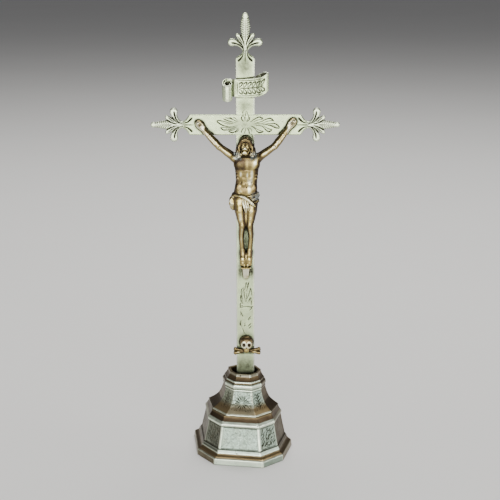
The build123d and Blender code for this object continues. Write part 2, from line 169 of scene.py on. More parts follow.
def skin(vol):
    """Closed quad mesh of the surface of a volume: vertices in millimetres, and quads."""
    f = vol.f
    f[0], f[-1], f[:, 0], f[:, -1], f[:, :, 0], f[:, :, -1] = (np.maximum(s, 0.05) for s in (
        f[0], f[-1], f[:, 0], f[:, -1], f[:, :, 0], f[:, :, -1]))
    ins = f < 0
    n = [s - 1 for s in f.shape]
    count = np.zeros(n, np.int8)
    for a in (0, 1):
        for b in (0, 1):
            for c in (0, 1):
                count += ins[a:a + n[0], b:b + n[1], c:c + n[2]]
    active = (count > 0) & (count < 8)
    cell = np.argwhere(active)
    index = np.full(n, -1, np.int32)
    index[active] = np.arange(len(cell), dtype=np.int32)
    acc, num = np.zeros((len(cell), 3)), np.zeros(len(cell))
    for a, b in EDGES:
        fa = f[cell[:, 0] + a[0], cell[:, 1] + a[1], cell[:, 2] + a[2]].astype(float)
        fb = f[cell[:, 0] + b[0], cell[:, 1] + b[1], cell[:, 2] + b[2]].astype(float)
        hit = (fa < 0) != (fb < 0)
        t = np.where(hit, fa / np.where(hit, fa - fb, 1.0), 0.0)
        p = np.array(a, float) + t[:, None] * (np.array(b, float) - np.array(a, float))
        acc += p * hit[:, None]
        num += hit
    verts = (cell + acc / num[:, None]) * vol.step + np.array([a[0] for a in vol.ax], float)
    quads = []
    for axis in range(3):
        u, v = (axis + 1) % 3, (axis + 2) % 3
        s0 = [slice(None)] * 3
        s1 = [slice(None)] * 3
        s0[axis], s1[axis] = slice(0, -1), slice(1, None)
        lower, upper = ins[tuple(s0)], ins[tuple(s1)]
        e = np.argwhere(lower != upper)
        e = e[(e[:, u] > 0) & (e[:, v] > 0) & (e[:, u] < n[u]) & (e[:, v] < n[v])]
        corner = []
        for du, dv in ((-1, -1), (0, -1), (0, 0), (-1, 0)):
            q = e.copy()
            q[:, u] += du
            q[:, v] += dv
            corner.append(index[q[:, 0], q[:, 1], q[:, 2]])
        quad = np.stack(corner, axis=1)
        flip = ~lower[e[:, 0], e[:, 1], e[:, 2]]
        quad[flip] = quad[flip][:, ::-1]
        quads.append(quad)
    return verts, np.concatenate(quads)


def main_shell(verts, quads):
    """The largest connected shell of a mesh, without the small bubbles closed inside it."""
    e = np.concatenate([quads[:, [0, 1]], quads[:, [1, 2]], quads[:, [2, 3]], quads[:, [3, 0]]])
    lab = np.arange(len(verts))
    while True:
        low = np.minimum(lab[e[:, 0]], lab[e[:, 1]])
        new = lab.copy()
        np.minimum.at(new, e[:, 0], low)
        np.minimum.at(new, e[:, 1], low)
        new = new[new]
        if (new == lab).all():
            break
        lab = new
    keep = lab == np.bincount(lab).argmax()
    return verts[keep], (np.cumsum(keep) - 1)[quads[keep[quads[:, 0]]]]


# ------------------------------------------------------------------ meshes
def edges_of(quads):
    e = np.concatenate([quads[:, [0, 1]], quads[:, [1, 2]], quads[:, [2, 3]], quads[:, [3, 0]]])
    e.sort(axis=1)
    return np.unique(e, axis=0)


def relax(verts, quads, times, amount=0.5):
    e = edges_of(quads)
    i, j = e[:, 0], e[:, 1]
    n = len(verts)
    deg = np.maximum(np.bincount(i, minlength=n) + np.bincount(j, minlength=n), 1)
    v = verts.copy()
    for _ in range(times):
        m = np.stack([np.bincount(i, v[j, c], n) + np.bincount(j, v[i, c], n) for c in range(3)], 1) / deg[:, None]
        v += amount * (m - v)
    return v


def normals_of(verts, quads):
    a, b, c, d = (verts[quads[:, i]] for i in range(4))
    fn = np.cross(c - a, d - b)
    out = np.stack([sum(np.bincount(quads[:, k], fn[:, i], len(verts)) for k in range(4)) for i in range(3)], 1)
    return out / np.maximum(np.linalg.norm(out, axis=1, keepdims=True), 1e-12)


def hollowness(verts, quads, times=14, scale=0.25):
    """Above 0 in hollows, below 0 on ridges, about -1 to 1."""
    n = normals_of(verts, quads)
    return np.clip(((relax(verts, quads, times) - verts) * n).sum(axis=1) / scale, -1, 1)


def mesh_object(name, verts, faces, material, body, attrs=None, replaces=(), smooth=True):
    """An object from vertices in millimetres and arrays of faces, riding on a body."""
    faces = [np.asarray(f, np.int32) for f in (faces if isinstance(faces, list) else [faces])]
    me = bpy.data.meshes.new(name)
    me.vertices.add(len(verts))
    me.vertices.foreach_set("co", (np.asarray(verts, float) * MM).astype(np.float32).ravel())
    corners = np.concatenate([f.ravel() for f in faces])
    total = np.concatenate([np.full(len(f), f.shape[1], np.int32) for f in faces])
    me.loops.add(len(corners))
    me.loops.foreach_set("vertex_index", corners)
    me.polygons.add(len(total))
    me.polygons.foreach_set("loop_start", np.concatenate([[0], np.cumsum(total)[:-1]]).astype(np.int32))
    me.polygons.foreach_set("loop_total", total)
    me.update(calc_edges=True)
    me.validate()
    for key, values in (attrs or {}).items():
        at = me.attributes.new(key, "FLOAT", "POINT")
        at.data.foreach_set("value", np.asarray(values, np.float32))
    if smooth:
        me.polygons.foreach_set("use_smooth", np.ones(len(me.polygons), bool))
    ob = bpy.data.objects.new(name, me)
    bpy.context.scene.collection.objects.link(ob)
    me.materials.append(material)
    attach(ob, body)
    if replaces:
        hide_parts(*replaces)
    return ob


# ------------------------------------------------------------------ materials
class Shade:
    """A metal finish built from nodes."""

    def __init__(self, name):
        self.mat = bpy.data.materials.new(name)
        self.mat.use_nodes = True
        self.tree = self.mat.node_tree
        self.tree.nodes.clear()
        out = self.add("ShaderNodeOutputMaterial")
        self.bsdf = self.add("ShaderNodeBsdfPrincipled")
        self.tree.links.new(self.bsdf.outputs["BSDF"], out.inputs["Surface"])
        self.coord = self.add("ShaderNodeTexCoord").outputs["Object"]

    def add(self, kind, **props):
        n = self.tree.nodes.new(kind)
        for key, value in props.items():
            setattr(n, key, value)
        return n

    def put(self, socket, value):
        if isinstance(value, bpy.types.NodeSocket):
            self.tree.links.new(value, socket)
        else:
            socket.default_value = value

    def noise(self, scale, detail=4.0, rough=0.55, stretch=None, distortion=0.0):
        n = self.add("ShaderNodeTexNoise")
        coord = self.coord
        if stretch:
            m = self.add("ShaderNodeMapping")
            m.inputs["Scale"].default_value = stretch
            self.put(m.inputs["Vector"], coord)
            coord = m.outputs["Vector"]
        self.put(n.inputs["Vector"], coord)
        n.inputs["Scale"].default_value = scale
        n.inputs["Detail"].default_value = detail
        n.inputs["Roughness"].default_value = rough
        n.inputs["Distortion"].default_value = distortion
        return n.outputs["Fac"]

    def cells(self, scale, feature="F1", randomness=1.0):
        n = self.add("ShaderNodeTexVoronoi", feature=feature)
        self.put(n.inputs["Vector"], self.coord)
        n.inputs["Scale"].default_value = scale
        n.inputs["Randomness"].default_value = randomness
        return n.outputs["Distance"]

    def attr(self, name):
        return self.add("ShaderNodeAttribute", attribute_name=name).outputs["Fac"]

    def fit(self, value, a, b, c, d, smooth=False):
        n = self.add("ShaderNodeMapRange", interpolation_type="SMOOTHSTEP" if smooth else "LINEAR")
        self.put(n.inputs["Value"], value)
        for key, v in zip(("From Min", "From Max", "To Min", "To Max"), (a, b, c, d)):
            n.inputs[key].default_value = v
        return n.outputs["Result"]

    def sum(self, op, a, b):
        n = self.add("ShaderNodeMath", operation=op, use_clamp=True)
        self.put(n.inputs[0], a)
        self.put(n.inputs[1], b)
        return n.outputs[0]

    def mix(self, fac, a, b, blend="MIX"):
        n = self.add("ShaderNodeMix", data_type="RGBA", blend_type=blend)
        self.put(n.inputs[0], fac)
        for socket, v in ((n.inputs[6], a), (n.inputs[7], b)):
            self.put(socket, v if isinstance(v, bpy.types.NodeSocket) else (*v, 1.0))
        return n.outputs[2]

    def bump(self, height, strength, distance, normal=None):
        n = self.add("ShaderNodeBump")
        n.inputs["Strength"].default_value = strength
        n.inputs["Distance"].default_value = distance
        self.put(n.inputs["Height"], height)
        if normal is not None:
            self.put(n.inputs["Normal"], normal)
        return n.outputs["Normal"]


def pale_metal():
    """Pale plating on brass with wear: satin, greenish grey, dirt dark in the cuts, painted shadow round what is fixed
    on it, painted highlight along the edges.
    """
    s = Shade("pale_metal")
    cloud = s.fit(s.noise(38, 5, 0.6), 0.35, 0.68, 0, 1)
    fine = s.noise(900, 6, 0.7)
    streak = s.noise(420, 5, 0.65, stretch=(1.0, 1.0, 0.09))
    colour = s.mix(cloud, (0.65, 0.775, 0.48), (0.56, 0.665, 0.395))
    colour = s.mix(s.fit(streak, 0.45, 0.75, 0, 0.32), colour, (0.43, 0.42, 0.25))
    # edges brightened: painted highlight together with wear
    edge = s.attr("edge")
    colour = s.mix(s.sum("MULTIPLY", edge, s.fit(s.noise(160, 3), 0.25, 0.6, 0.55, 1.0)), colour, (0.95, 1.0, 0.83))
    # darkening: dirt in the cuts and specks, painted shadow round the figure and under the pieces fixed on the cross,
    # painted shade in creases
    grime = s.attr("grime")
    dirt = s.sum("MULTIPLY", grime, s.fit(s.noise(300, 5, 0.7), 0.25, 0.62, 0.55, 1.25))
    specks = s.fit(s.cells(330), 0.0, 0.16, 1.0, 0.0)
    specks = s.sum("MULTIPLY", specks, s.fit(s.noise(85, 2), 0.55, 0.72, 0, 0.8))
    dirt = s.sum("MAXIMUM", dirt, specks)
    colour = s.mix(dirt, colour, (0.045, 0.042, 0.028))
    s.put(s.bsdf.inputs["Base Color"], colour)
    s.bsdf.inputs["Metallic"].default_value = 1.0
    rough = s.fit(s.noise(120, 5, 0.65), 0.3, 0.7, 0.30, 0.44)
    s.put(s.bsdf.inputs["Roughness"], s.sum("ADD", rough, s.sum("MULTIPLY", dirt, 0.3)))
    n = s.bump(s.noise(62, 3, 0.5), 0.25, 0.0012)
    n = s.bump(streak, 0.10, 0.0002, n)
    n = s.bump(fine, 0.12, 0.00012, n)
    s.put(s.bsdf.inputs["Normal"], n)
    return s.mat


def bronze():
    """Brown patinated casting: gold and cream on the high spots from rubbing and as painted highlight where it faces
    the front light, painted shade where it turns away, darker in hollows as patina with painted shade, grey bloom in
    some hollows.
    """
    s = Shade("bronze_figure")
    cloud = s.fit(s.noise(95, 5, 0.62), 0.32, 0.68, 0, 1)
    colour = s.mix(cloud, (0.205, 0.148, 0.078), (0.14, 0.10, 0.052))
    # painted shade: dark brown where the surface turns away from the front light
    shade = s.sum("MULTIPLY", s.attr("shade"), s.fit(s.noise(140, 4, 0.6), 0.2, 0.6, 0.8, 1.1))
    colour = s.mix(shade, colour, (0.042, 0.028, 0.018))
    # gold and cream on the ridges from rubbing, and painted highlight where the surface faces the front light
    rub = s.attr("rub")
    highlight_and_rubbing = s.sum("MULTIPLY", rub, s.fit(s.noise(210, 4, 0.6), 0.3, 0.62, 0.6, 1.1))
    colour = s.mix(s.fit(highlight_and_rubbing, 0.05, 0.55, 0, 1), colour, (0.54, 0.43, 0.155))
    colour = s.mix(s.fit(highlight_and_rubbing, 0.52, 0.95, 0, 1), colour, (0.97, 0.96, 0.72))
    bloom = s.sum("MULTIPLY", s.attr("bloom"), s.fit(s.noise(420, 4, 0.6), 0.35, 0.6, 0.2, 1.0))
    colour = s.mix(bloom, colour, (0.40, 0.47, 0.46))
    # darker in hollows and creases: patina, with painted shade in the deeper creases
    hollow = s.sum("MULTIPLY", s.attr("hollow"), s.fit(s.noise(380, 5, 0.7), 0.2, 0.6, 0.6, 1.15))
    colour = s.mix(hollow, colour, (0.055, 0.036, 0.02))
    s.put(s.bsdf.inputs["Base Color"], colour)
    s.bsdf.inputs["Metallic"].default_value = 1.0
    rough = s.fit(s.noise(170, 5, 0.65), 0.3, 0.7, 0.27, 0.40)
    s.put(s.bsdf.inputs["Roughness"], s.sum("ADD", rough, s.sum("MULTIPLY", hollow, 0.25)))
    n = s.bump(s.noise(520, 5, 0.6), 0.16, 0.0003)
    s.put(s.bsdf.inputs["Normal"], n)
    return s.mat


def base_metal():
    """Cast base: silvery with wear and painted sheen on the faces turned to the front, golden brown on the slopes,
    painted shade dark brown on the sides, painted highlight on ridges, matted panels.
    """
    s = Shade("base_metal")
    cloud = s.fit(s.noise(60, 5, 0.62), 0.33, 0.68, 0, 1)
    brown = s.mix(cloud, (0.45, 0.34, 0.175), (0.33, 0.245, 0.12))
    silver = s.mix(s.fit(s.noise(130, 4, 0.6), 0.35, 0.65, 0, 1), (0.56, 0.71, 0.60), (0.475, 0.60, 0.485))
    # silvery with wear and painted sheen where the faces turn to the front
    worn = s.sum("MULTIPLY", s.attr("worn"), s.fit(s.noise(110, 5, 0.65), 0.22, 0.5, 0.72, 1.05))
    colour = s.mix(worn, brown, silver)
    # painted shade: dark brown on the sides and slopes turned from the light
    dim = s.sum("MULTIPLY", s.attr("dim"), s.fit(s.noise(70, 4, 0.6), 0.25, 0.65, 0.82, 1.05))
    colour = s.mix(dim, colour, (0.058, 0.039, 0.026))
    # painted highlight on ridges and corners
    edge = s.sum("MULTIPLY", s.attr("edge"), s.fit(s.noise(190, 4, 0.6), 0.25, 0.55, 0.5, 1.0))
    colour = s.mix(edge, colour, (0.90, 1.0, 0.80))
    # dark in cuts and pits, with painted shade in the creases and along the foot
    grime = s.sum("MULTIPLY", s.attr("grime"), s.fit(s.noise(330, 5, 0.7), 0.25, 0.6, 0.55, 1.2))
    pits = s.sum("MULTIPLY", s.fit(s.cells(210), 0.0, 0.14, 1.0, 0.0), s.fit(s.noise(55, 2), 0.5, 0.68, 0, 1.0))
    grime = s.sum("MAXIMUM", grime, pits)
    mat_field = s.attr("matted")
    fleck = s.sum("MULTIPLY", s.fit(s.noise(680, 5, 0.7), 0.46, 0.62, 0.0, 0.58), mat_field)
    colour = s.mix(fleck, colour, (0.11, 0.13, 0.10))
    colour = s.mix(grime, colour, (0.04, 0.034, 0.022))
    s.put(s.bsdf.inputs["Base Color"], colour)
    s.bsdf.inputs["Metallic"].default_value = 1.0
    rough = s.fit(s.noise(140, 5, 0.65), 0.3, 0.7, 0.28, 0.42)
    rough = s.sum("ADD", rough, s.sum("MULTIPLY", mat_field, 0.10))
    s.put(s.bsdf.inputs["Roughness"], s.sum("ADD", rough, s.sum("MULTIPLY", grime, 0.25)))
    grain = s.sum("MULTIPLY", s.fit(s.cells(1150), 0.0, 0.75, 0.0, 1.0), mat_field)
    n = s.bump(s.noise(70, 3, 0.5), 0.22, 0.0014)
    n = s.bump(grain, 0.55, 0.00028, n)
    n = s.bump(s.noise(1000, 5, 0.65), 0.12, 0.00012, n)
    s.put(s.bsdf.inputs["Normal"], n)
    return s.mat


def plain_fixing():
    """Dull turned or drawn metal of the hidden fixings."""
    s = Shade("fixings")
    colour = s.mix(s.fit(s.noise(240, 5, 0.65), 0.35, 0.65, 0, 1), (0.115, 0.085, 0.047), (0.06, 0.044, 0.026))
    colour = s.mix(s.fit(s.noise(900, 4, 0.6), 0.55, 0.75, 0, 0.8), colour, (0.07, 0.055, 0.035))
    s.put(s.bsdf.inputs["Base Color"], colour)
    s.bsdf.inputs["Metallic"].default_value = 1.0
    s.put(s.bsdf.inputs["Roughness"], s.fit(s.noise(300, 5, 0.6), 0.3, 0.7, 0.42, 0.62))
    s.put(s.bsdf.inputs["Normal"], s.bump(s.noise(1200, 4, 0.6), 0.2, 0.00015))
    return s.mat


PALE, BRONZE, BASE, FIXING = pale_metal(), bronze(), base_metal(), plain_fixing()


# ------------------------------------------------------------------ figure
def build_corpus():
    v = Volume((-37.5, -14.2, 146.2), (38.0, -0.6, 256.5), 0.275)
    # trunk
    v.add(stack([(183, 0.4, -6.4, 5.6, 3.3), (187, 0.4, -6.3, 7.0, 3.9), (192, 0.2, -6.1, 8.2, 4.3), (197, 0.1, -6.0, 8.9, 4.4),
                 (201, 0.1, -5.9, 8.7, 4.1), (205.5, 0.35, -5.9, 8.0, 3.8), (210.5, 0.9, -6.0, 7.7, 3.9), (214, 1.0, -6.2, 8.0, 4.4),
                 (218, 1.05, -6.3, 8.4, 4.8), (222, 1.1, -6.3, 8.8, 4.9), (225, 1.0, -6.3, 8.6, 4.9), (227.5, 0.9, -6.4, 7.4, 4.5),
                 (229.5, 0.7, -6.4, 5.2, 3.5), (231, 0.6, -6.4, 3.2, 2.8)], 2.3), 0.8)
    # chest, with a soft line below and between
    for cx in (-3.2, 5.4):
        v.add(oval((cx, -8.9, 222.7), (4.8, 2.0, 4.5), (0, 6 if cx < 0 else -6, 0)), 1.9)
    v.cut(path([(-7.4, -9.0, 219.9), (-3.1, -11.75, 218.35), (1.1, -11.75, 219.3), (5.3, -11.75, 218.35), (9.6, -9.0, 219.9)],
               [0.25, 0.32, 0.25, 0.32, 0.25]), 0.9)
    v.cut(cone((1.1, -12.0, 226.4), 0.28, (1.1, -11.9, 219.2), 0.3), 0.9)
    # collar bones
    for s, cx in ((-1, -6.3), (1, 8.3)):
        v.add(path([(1.1 + s * 0.9, -9.4, 226.5), (1.1 + s * 4.0, -8.9, 227.4), (cx, -7.9, 228.4)], [0.5, 0.45, 0.6]), 1.2)
    # ribs at the sides, belly in soft columns
    for s in (-1, 1):
        for i, z in enumerate((217.2, 214.8, 212.4)):
            v.add(oval((1.05 + s * (6.35 - 0.12 * i), -8.55 + 0.12 * i, z), (1.9, 1.0, 0.95), (0, -s * 24, 0)), 0.6)
        for z, w in ((215.9, 1.85), (212.3, 1.95), (208.5, 1.9)):
            v.add(oval((1.0 + s * 2.05, -9.35, z), (w, 1.15, 1.95)), 0.7)
        v.add(oval((0.7 + s * 5.6, -7.7, 205.0), (2.1, 1.5, 3.0), (0, s * 12, 0)), 1.0)
        v.cut(cone((0.6 + s * 5.4, -9.9, 203.6), 0.25, (0.6 + s * 3.4, -10.5, 200.6), 0.25), 0.8)
    v.cut(cone((1.05, -11.1, 217.6), 0.25, (0.95, -10.8, 206.2), 0.22), 0.6)
    v.add(oval((0.7, -8.9, 203.8), (4.1, 1.25, 3.5)), 1.3)
    v.cut(oval((0.95, -10.45, 206.3), (0.5, 0.75, 0.65)), 0.25)

    # neck
    v.add(cone((0.8, -5.8, 226.5), 2.9, (0.1, -7.4, 234.0), 2.6), 0.8)
    for s in (-1, 1):
        v.add(cone((0.9 + s * 0.7, -9.2, 227.6), 0.55, (0.1 + s * 2.9, -7.6, 232.6), 0.7), 0.5)

    # head, in a frame of its own
    head = np.array((0.15, -8.0, 236.0))
    m = np.array(Euler((math.radians(-13), math.radians(4), math.radians(-3))).to_matrix())

    def h(u, f, w):
        """Head coordinates: u to the viewer's right, f forwards, w up."""
        return tuple(head + m @ np.array((u, -f, w)))

    def hoval(u, f, w, r, turn=(0, 0, 0)):
        return oval(h(u, f, w), r, (turn[0] - 13, turn[1] + 4, turn[2] - 3))

    # skull, cheeks, jaw
    v.add(hoval(0, -0.2, 1.4, (3.95, 4.5, 4.4)), 0.6)
    v.add(hoval(0, 1.0, -1.6, (3.15, 3.1, 4.0)), 0.9)
    v.add(hoval(0, 2.2, -3.9, (2.1, 1.9, 1.8)), 0.8)
    # brow, eye hollows, eyes
    v.add(hoval(0, 3.75, 1.35, (2.7, 0.7, 0.75)), 0.5)
    for s in (-1, 1):
        v.cut(hoval(s * 1.42, 4.55, 0.35, (1.0, 0.75, 0.62)), 0.35)
        v.add(hoval(s * 1.42, 3.45, 0.28, (0.78, 0.66, 0.46)), 0.15)
        v.cut(cone(h(s * 0.8, 4.2, 0.12), 0.07, h(s * 2.0, 3.75, 0.16), 0.07), 0.1)
        v.add(path([h(s * 0.55, 4.35, 0.95), h(s * 1.4, 4.42, 1.22), h(s * 2.35, 3.75, 0.95)], [0.24, 0.28, 0.2]), 0.25)
        # cheek
        v.add(hoval(s * 1.85, 2.9, -1.05, (0.95, 0.85, 1.0)), 0.7)
    # nose
    v.add(path([h(0, 4.15, 0.95), h(0, 4.75, -0.35), h(0, 5.25, -1.4)], [0.42, 0.46, 0.58]), 0.35)
    for s in (-1, 1):
        v.add(hoval(s * 0.55, 4.55, -1.55, (0.42, 0.5, 0.36)), 0.2)
    # mouth
    v.add(hoval(0, 4.05, -2.65, (0.95, 0.5, 0.26)), 0.15)
    v.add(hoval(0, 3.95, -3.2, (0.8, 0.5, 0.28)), 0.15)
    v.cut(cone(h(-0.9, 4.35, -2.93), 0.09, h(0.9, 4.35, -2.93), 0.09), 0.1)
    # beard and moustache in locks
    for s in (-1, 1):
        v.add(path([h(s * 0.25, 4.4, -2.2), h(s * 1.1, 4.15, -2.5), h(s * 1.6, 3.7, -3.3)], [0.28, 0.34, 0.3]), 0.2)
        for i, (u, w) in enumerate(((2.95, -1.6), (2.75, -2.7), (2.3, -3.7), (1.6, -4.5))):
            v.add(path([h(s * u, 2.2 + 0.35 * i, w), h(s * (u - 0.15), 2.5 + 0.4 * i, w - 0.9), h(s * (u - 0.6), 2.6 + 0.45 * i, w - 1.75)],
                       [0.62, 0.6, 0.32]), 0.25)
        v.add(path([h(s * 0.55, 3.75, -4.1), h(s * 0.75, 3.8, -5.2), h(s * 0.35, 3.5, -6.3)], [0.75, 0.7, 0.3]), 0.25)
    v.add(path([h(0, 3.9, -4.0), h(0, 3.9, -5.2), h(0, 3.6, -6.5)], [0.65, 0.6, 0.3]), 0.2)

    # hair: rounded crown with combed lines, wavy locks to the shoulders, curls at their ends
    v.add(hoval(0, -0.55, 2.1, (4.55, 4.75, 4.55)), 0.5)
    for s in (-1, 1):
        v.add(path([h(s * 0.5, 3.95, 4.1), h(s * 2.3, 3.55, 3.3), h(s * 3.6, 2.2, 1.4), h(s * 4.05, 1.2, -0.8)], [0.75, 0.95, 1.0, 0.95]), 0.5)
        for i in range(7):
            a = i / 6.0
            v.cut(path([h(s * 0.25, 4.4 - 5.2 * a, 4.9 + 1.9 * math.sin(math.pi * (0.12 + 0.62 * a))),
                        h(s * 2.6, 3.7 - 4.7 * a, 4.5 + 1.1 * math.sin(math.pi * (0.1 + 0.7 * a))),
                        h(s * 4.35, 2.0 - 4.0 * a, 2.2), h(s * 4.75, 0.9 - 3.4 * a, -0.2)], [0.12, 0.17, 0.18, 0.15]), 0.28)
        v.cut(cone(h(0, 4.4, 5.0), 0.12, h(0, -2.6, 6.9), 0.16), 0.3)
        v.add(oval((0.35 + s * 4.45, -6.3, 232.4), (1.75, 2.6, 4.0), (0, s * 5, 0)), 0.6)
        # locks from the temples down
        for i, (u0, f0, du, dy) in enumerate(((3.75, 1.9, 4.6, -9.2), (4.35, 0.7, 5.5, -8.2), (4.6, -0.7, 6.2, -7.0), (4.4, -2.0, 6.3, -5.6))):
            a, b = np.array(h(s * u0, f0, 0.9)), np.array((0.35 + s * du, dy, 228.4 + 0.5 * i))
            pts, rad = [], []
            for k in range(9):
                t = k / 8.0
                p = a + (b - a) * t
                wave = 0.42 * math.sin(2 * math.pi * (1.35 * t + 0.23 * i))
                pts.append((p[0] + s * (wave + 0.7 * math.sin(math.pi * t)), p[1] - 0.35 * math.sin(math.pi * t), p[2]))
                rad.append(0.78 - 0.12 * t)
            v.add(path(pts, rad), 0.18)
        for cx, cy, cz, r, w in ((4.5, -9.4, 228.2, 1.0, 1), (5.7, -8.3, 229.3, 1.05, -1), (3.6, -9.6, 230.2, 0.85, -1), (6.3, -7.0, 227.9, 1.0, 1),
                                 (5.1, -8.9, 226.6, 0.85, -1), (4.8, -8.9, 231.6, 0.95, 1)):
            pts, rad = [], []
            for k in range(10):
                t = k / 9.0 * 2.0 * math.pi * 1.2 + 0.8 * cx
                q = r * (1.0 - 0.6 * k / 9.0)
                pts.append((0.4 + s * (cx + w * q * math.cos(t)), cy - 0.45 * k / 9.0, cz + q * math.sin(t)))
                rad.append(0.40 - 0.06 * k / 9.0)
            v.add(path(pts, rad), 0.1)
            v.add(oval((0.4 + s * cx, cy + 0.55, cz), (0.9 * r, 0.6, 0.9 * r)), 0.2)

    # arms: shoulder, elbow, wrist, hand
    arms = [(-1, (-7.8, -5.7, 227.2), (-18.3, -4.7, 234.7), (-28.3, -3.4, 245.2), (-31.9, -2.75, 249.5)),
            (1, (9.2, -5.7, 227.0), (20.9, -4.7, 235.2), (29.4, -3.4, 246.2), (32.9, -2.75, 250.8))]
    for s, sh, el, wr, ha in arms:
        sh, el, wr, ha = (np.array(p) for p in (sh, el, wr, ha))
        v.add(oval(sh + (-s * 0.4, -0.7, 0.1), (3.5, 3.3, 3.3)), 1.9)
        v.add(path([sh, sh + 0.45 * (el - sh), el], [3.1, 2.85, 2.3]), 1.0)
        v.add(cone(sh + (s * 0.2, -1.2, 0.9), 1.7, sh + 0.42 * (el - sh) + (0, -0.9, 0.5), 1.15), 0.9)           # deltoid
        v.add(cone(sh + 0.35 * (el - sh) + (0, -1.0, 0.3), 1.4, sh + 0.72 * (el - sh) + (0, -0.9, 0.2), 1.15), 0.8)  # biceps
        v.add(cone(sh + 0.25 * (el - sh) + (0, 0.4, -1.2), 1.5, sh + 0.8 * (el - sh) + (0, 0.3, -0.7), 1.15), 0.9)   # triceps
        v.add(oval(el + (s * 0.2, -0.6, -0.4), (1.7, 1.4, 1.7)), 0.8)
        v.add(path([el, el + 0.30 * (wr - el), el + 0.7 * (wr - el), wr], [2.5, 2.7, 2.35, 1.9]), 0.8)
        v.add(cone(el + 0.1 * (wr - el) + (0, -0.95, 0.45), 1.2, el + 0.6 * (wr - el) + (0, -0.7, 0.2), 0.8), 0.7)
        v.cut(cone(el + 0.30 * (wr - el) + (0, -2.75, -0.5), 0.16, el + 0.85 * (wr - el) + (0, -2.15, -0.2), 0.14), 0.5)
        v.cut(path([el + (-s * 0.6, -2.4, 1.2), el + (s * 0.5, -2.45, 0.3), el + (s * 1.2, -2.2, -0.8)], [0.14, 0.18, 0.12]), 0.35)
        along = (ha - wr) / np.linalg.norm(ha - wr)
        across = np.array((along[2], 0, -along[0])) * s
        turn = math.degrees(math.atan2(along[0], along[2]))
        # long palm that grows out of the wrist, folded fingers, thumb laid along the side
        v.add(path([wr - 0.6 * along, wr + 1.6 * along, ha - 0.6 * along], [1.75, 1.85, 2.1], (1.0, 1.15, 1.0)), 0.6)
        v.add(oval(ha + 0.1 * along + (0, 0.1, 0), (2.8, 1.45, 4.1), (0, turn, 0)), 0.5)
        v.add(oval(ha - 1.5 * along - 1.15 * across + (0, -0.85, 0), (0.85, 0.7, 1.9), (0, turn + s * 12, 0)), 0.4)
        v.add(oval(ha - 1.2 * along + 1.15 * across + (0, -0.75, 0), (0.8, 0.6, 1.9), (0, turn, 0)), 0.4)
        for i, off in enumerate((-1.42, -0.48, 0.48, 1.36)):
            length = (2.1, 2.7, 2.6, 1.9)[i]
            knuckle = ha + 0.9 * along + off * across + np.array((0, -0.6, 0))
            middle = ha + (0.9 + 0.80 * length) * along + off * 0.84 * across + np.array((0, -0.8, 0))
            tip = ha + (0.7 + 0.52 * length) * along + off * 0.8 * across + np.array((0, -1.35, 0))
            v.add(path([knuckle, middle, tip], [0.58, 0.55, 0.42]), 0.16)
        v.add(path([ha - 2.2 * along - 1.6 * across + np.array((0, -0.7, 0)), ha - 0.3 * along - 2.0 * across + np.array((0, -0.95, 0)),
                    ha + 1.3 * along - 1.65 * across + np.array((0, -1.25, 0))], [0.66, 0.56, 0.42]), 0.25)
        v.cut(path([ha - 1.9 * along - 0.5 * across + np.array((0, -1.75, 0)), ha - 0.4 * along - 1.0 * across + np.array((0, -1.8, 0)),
                    ha + 0.5 * along - 0.7 * across + np.array((0, -1.7, 0))], [0.13, 0.16, 0.12]), 0.25)

    # legs: full thighs that meet at the knees, shins bowed apart, feet side by side
    legs = ((-1, (-4.2, -6.3, 196.0), (-2.25, -9.0, 178.6), (-2.85, -8.3, 168.0), (-2.3, -7.0, 160.2), (-1.9, -6.1, 156.4)),
            (1, (4.7, -6.3, 196.0), (3.25, -9.0, 178.6), (3.95, -8.3, 168.0), (3.3, -7.0, 160.2), (2.8, -6.1, 156.4)))
    for s, hip, knee, shin, low, ankle in legs:
        hip, knee, shin, low, ankle = (np.array(p) for p in (hip, knee, shin, low, ankle))
        v.add(path([hip, hip + 0.4 * (knee - hip) + (s * 0.35, -0.5, 0), hip + 0.75 * (knee - hip) + (s * 0.3, -0.3, 0), knee], [4.3, 3.95, 3.1, 2.5]), 1.0)
        v.add(cone(hip + 0.25 * (knee - hip) + (-s * 0.2, -1.9, 0), 2.3, hip + 0.88 * (knee - hip) + (s * 0.1, -0.8, 0), 1.6), 1.0)
        v.add(cone(hip + 0.45 * (knee - hip) + (-s * 1.6, -0.6, 0), 1.7, hip + 0.93 * (knee - hip) + (-s * 0.9, -0.6, 0), 1.3), 0.8)
        v.add(oval(knee + (0, -1.6, 0.2), (1.5, 1.15, 1.9)), 0.6)
        v.cut(path([knee + (-1.5, -2.5, -1.6), knee + (0, -2.95, -2.1), knee + (1.5, -2.5, -1.6)], [0.12, 0.15, 0.12]), 0.4)
        v.add(path([knee + (0, 0, -0.8), shin + (0, 0, 3.4), shin, low, ankle], [2.45, 2.1, 1.85, 1.8, 2.15]), 0.9)
        v.add(path([knee + (s * 0.1, -1.4, -3.0), shin + (s * 0.1, -1.0, 0), low + (0, -0.75, 0.6)], [0.8, 0.62, 0.5]), 0.7)   # shin bone
        v.add(oval(shin + (s * 0.35, 1.6, 3.0), (1.6, 1.7, 5.2), (6, 0, 0)), 0.9)                                    # calf
        for side in (-1, 1):
            v.add(oval(ankle + (side * 1.25, -0.1, 0.6), (0.5, 0.65, 0.7)), 0.4)
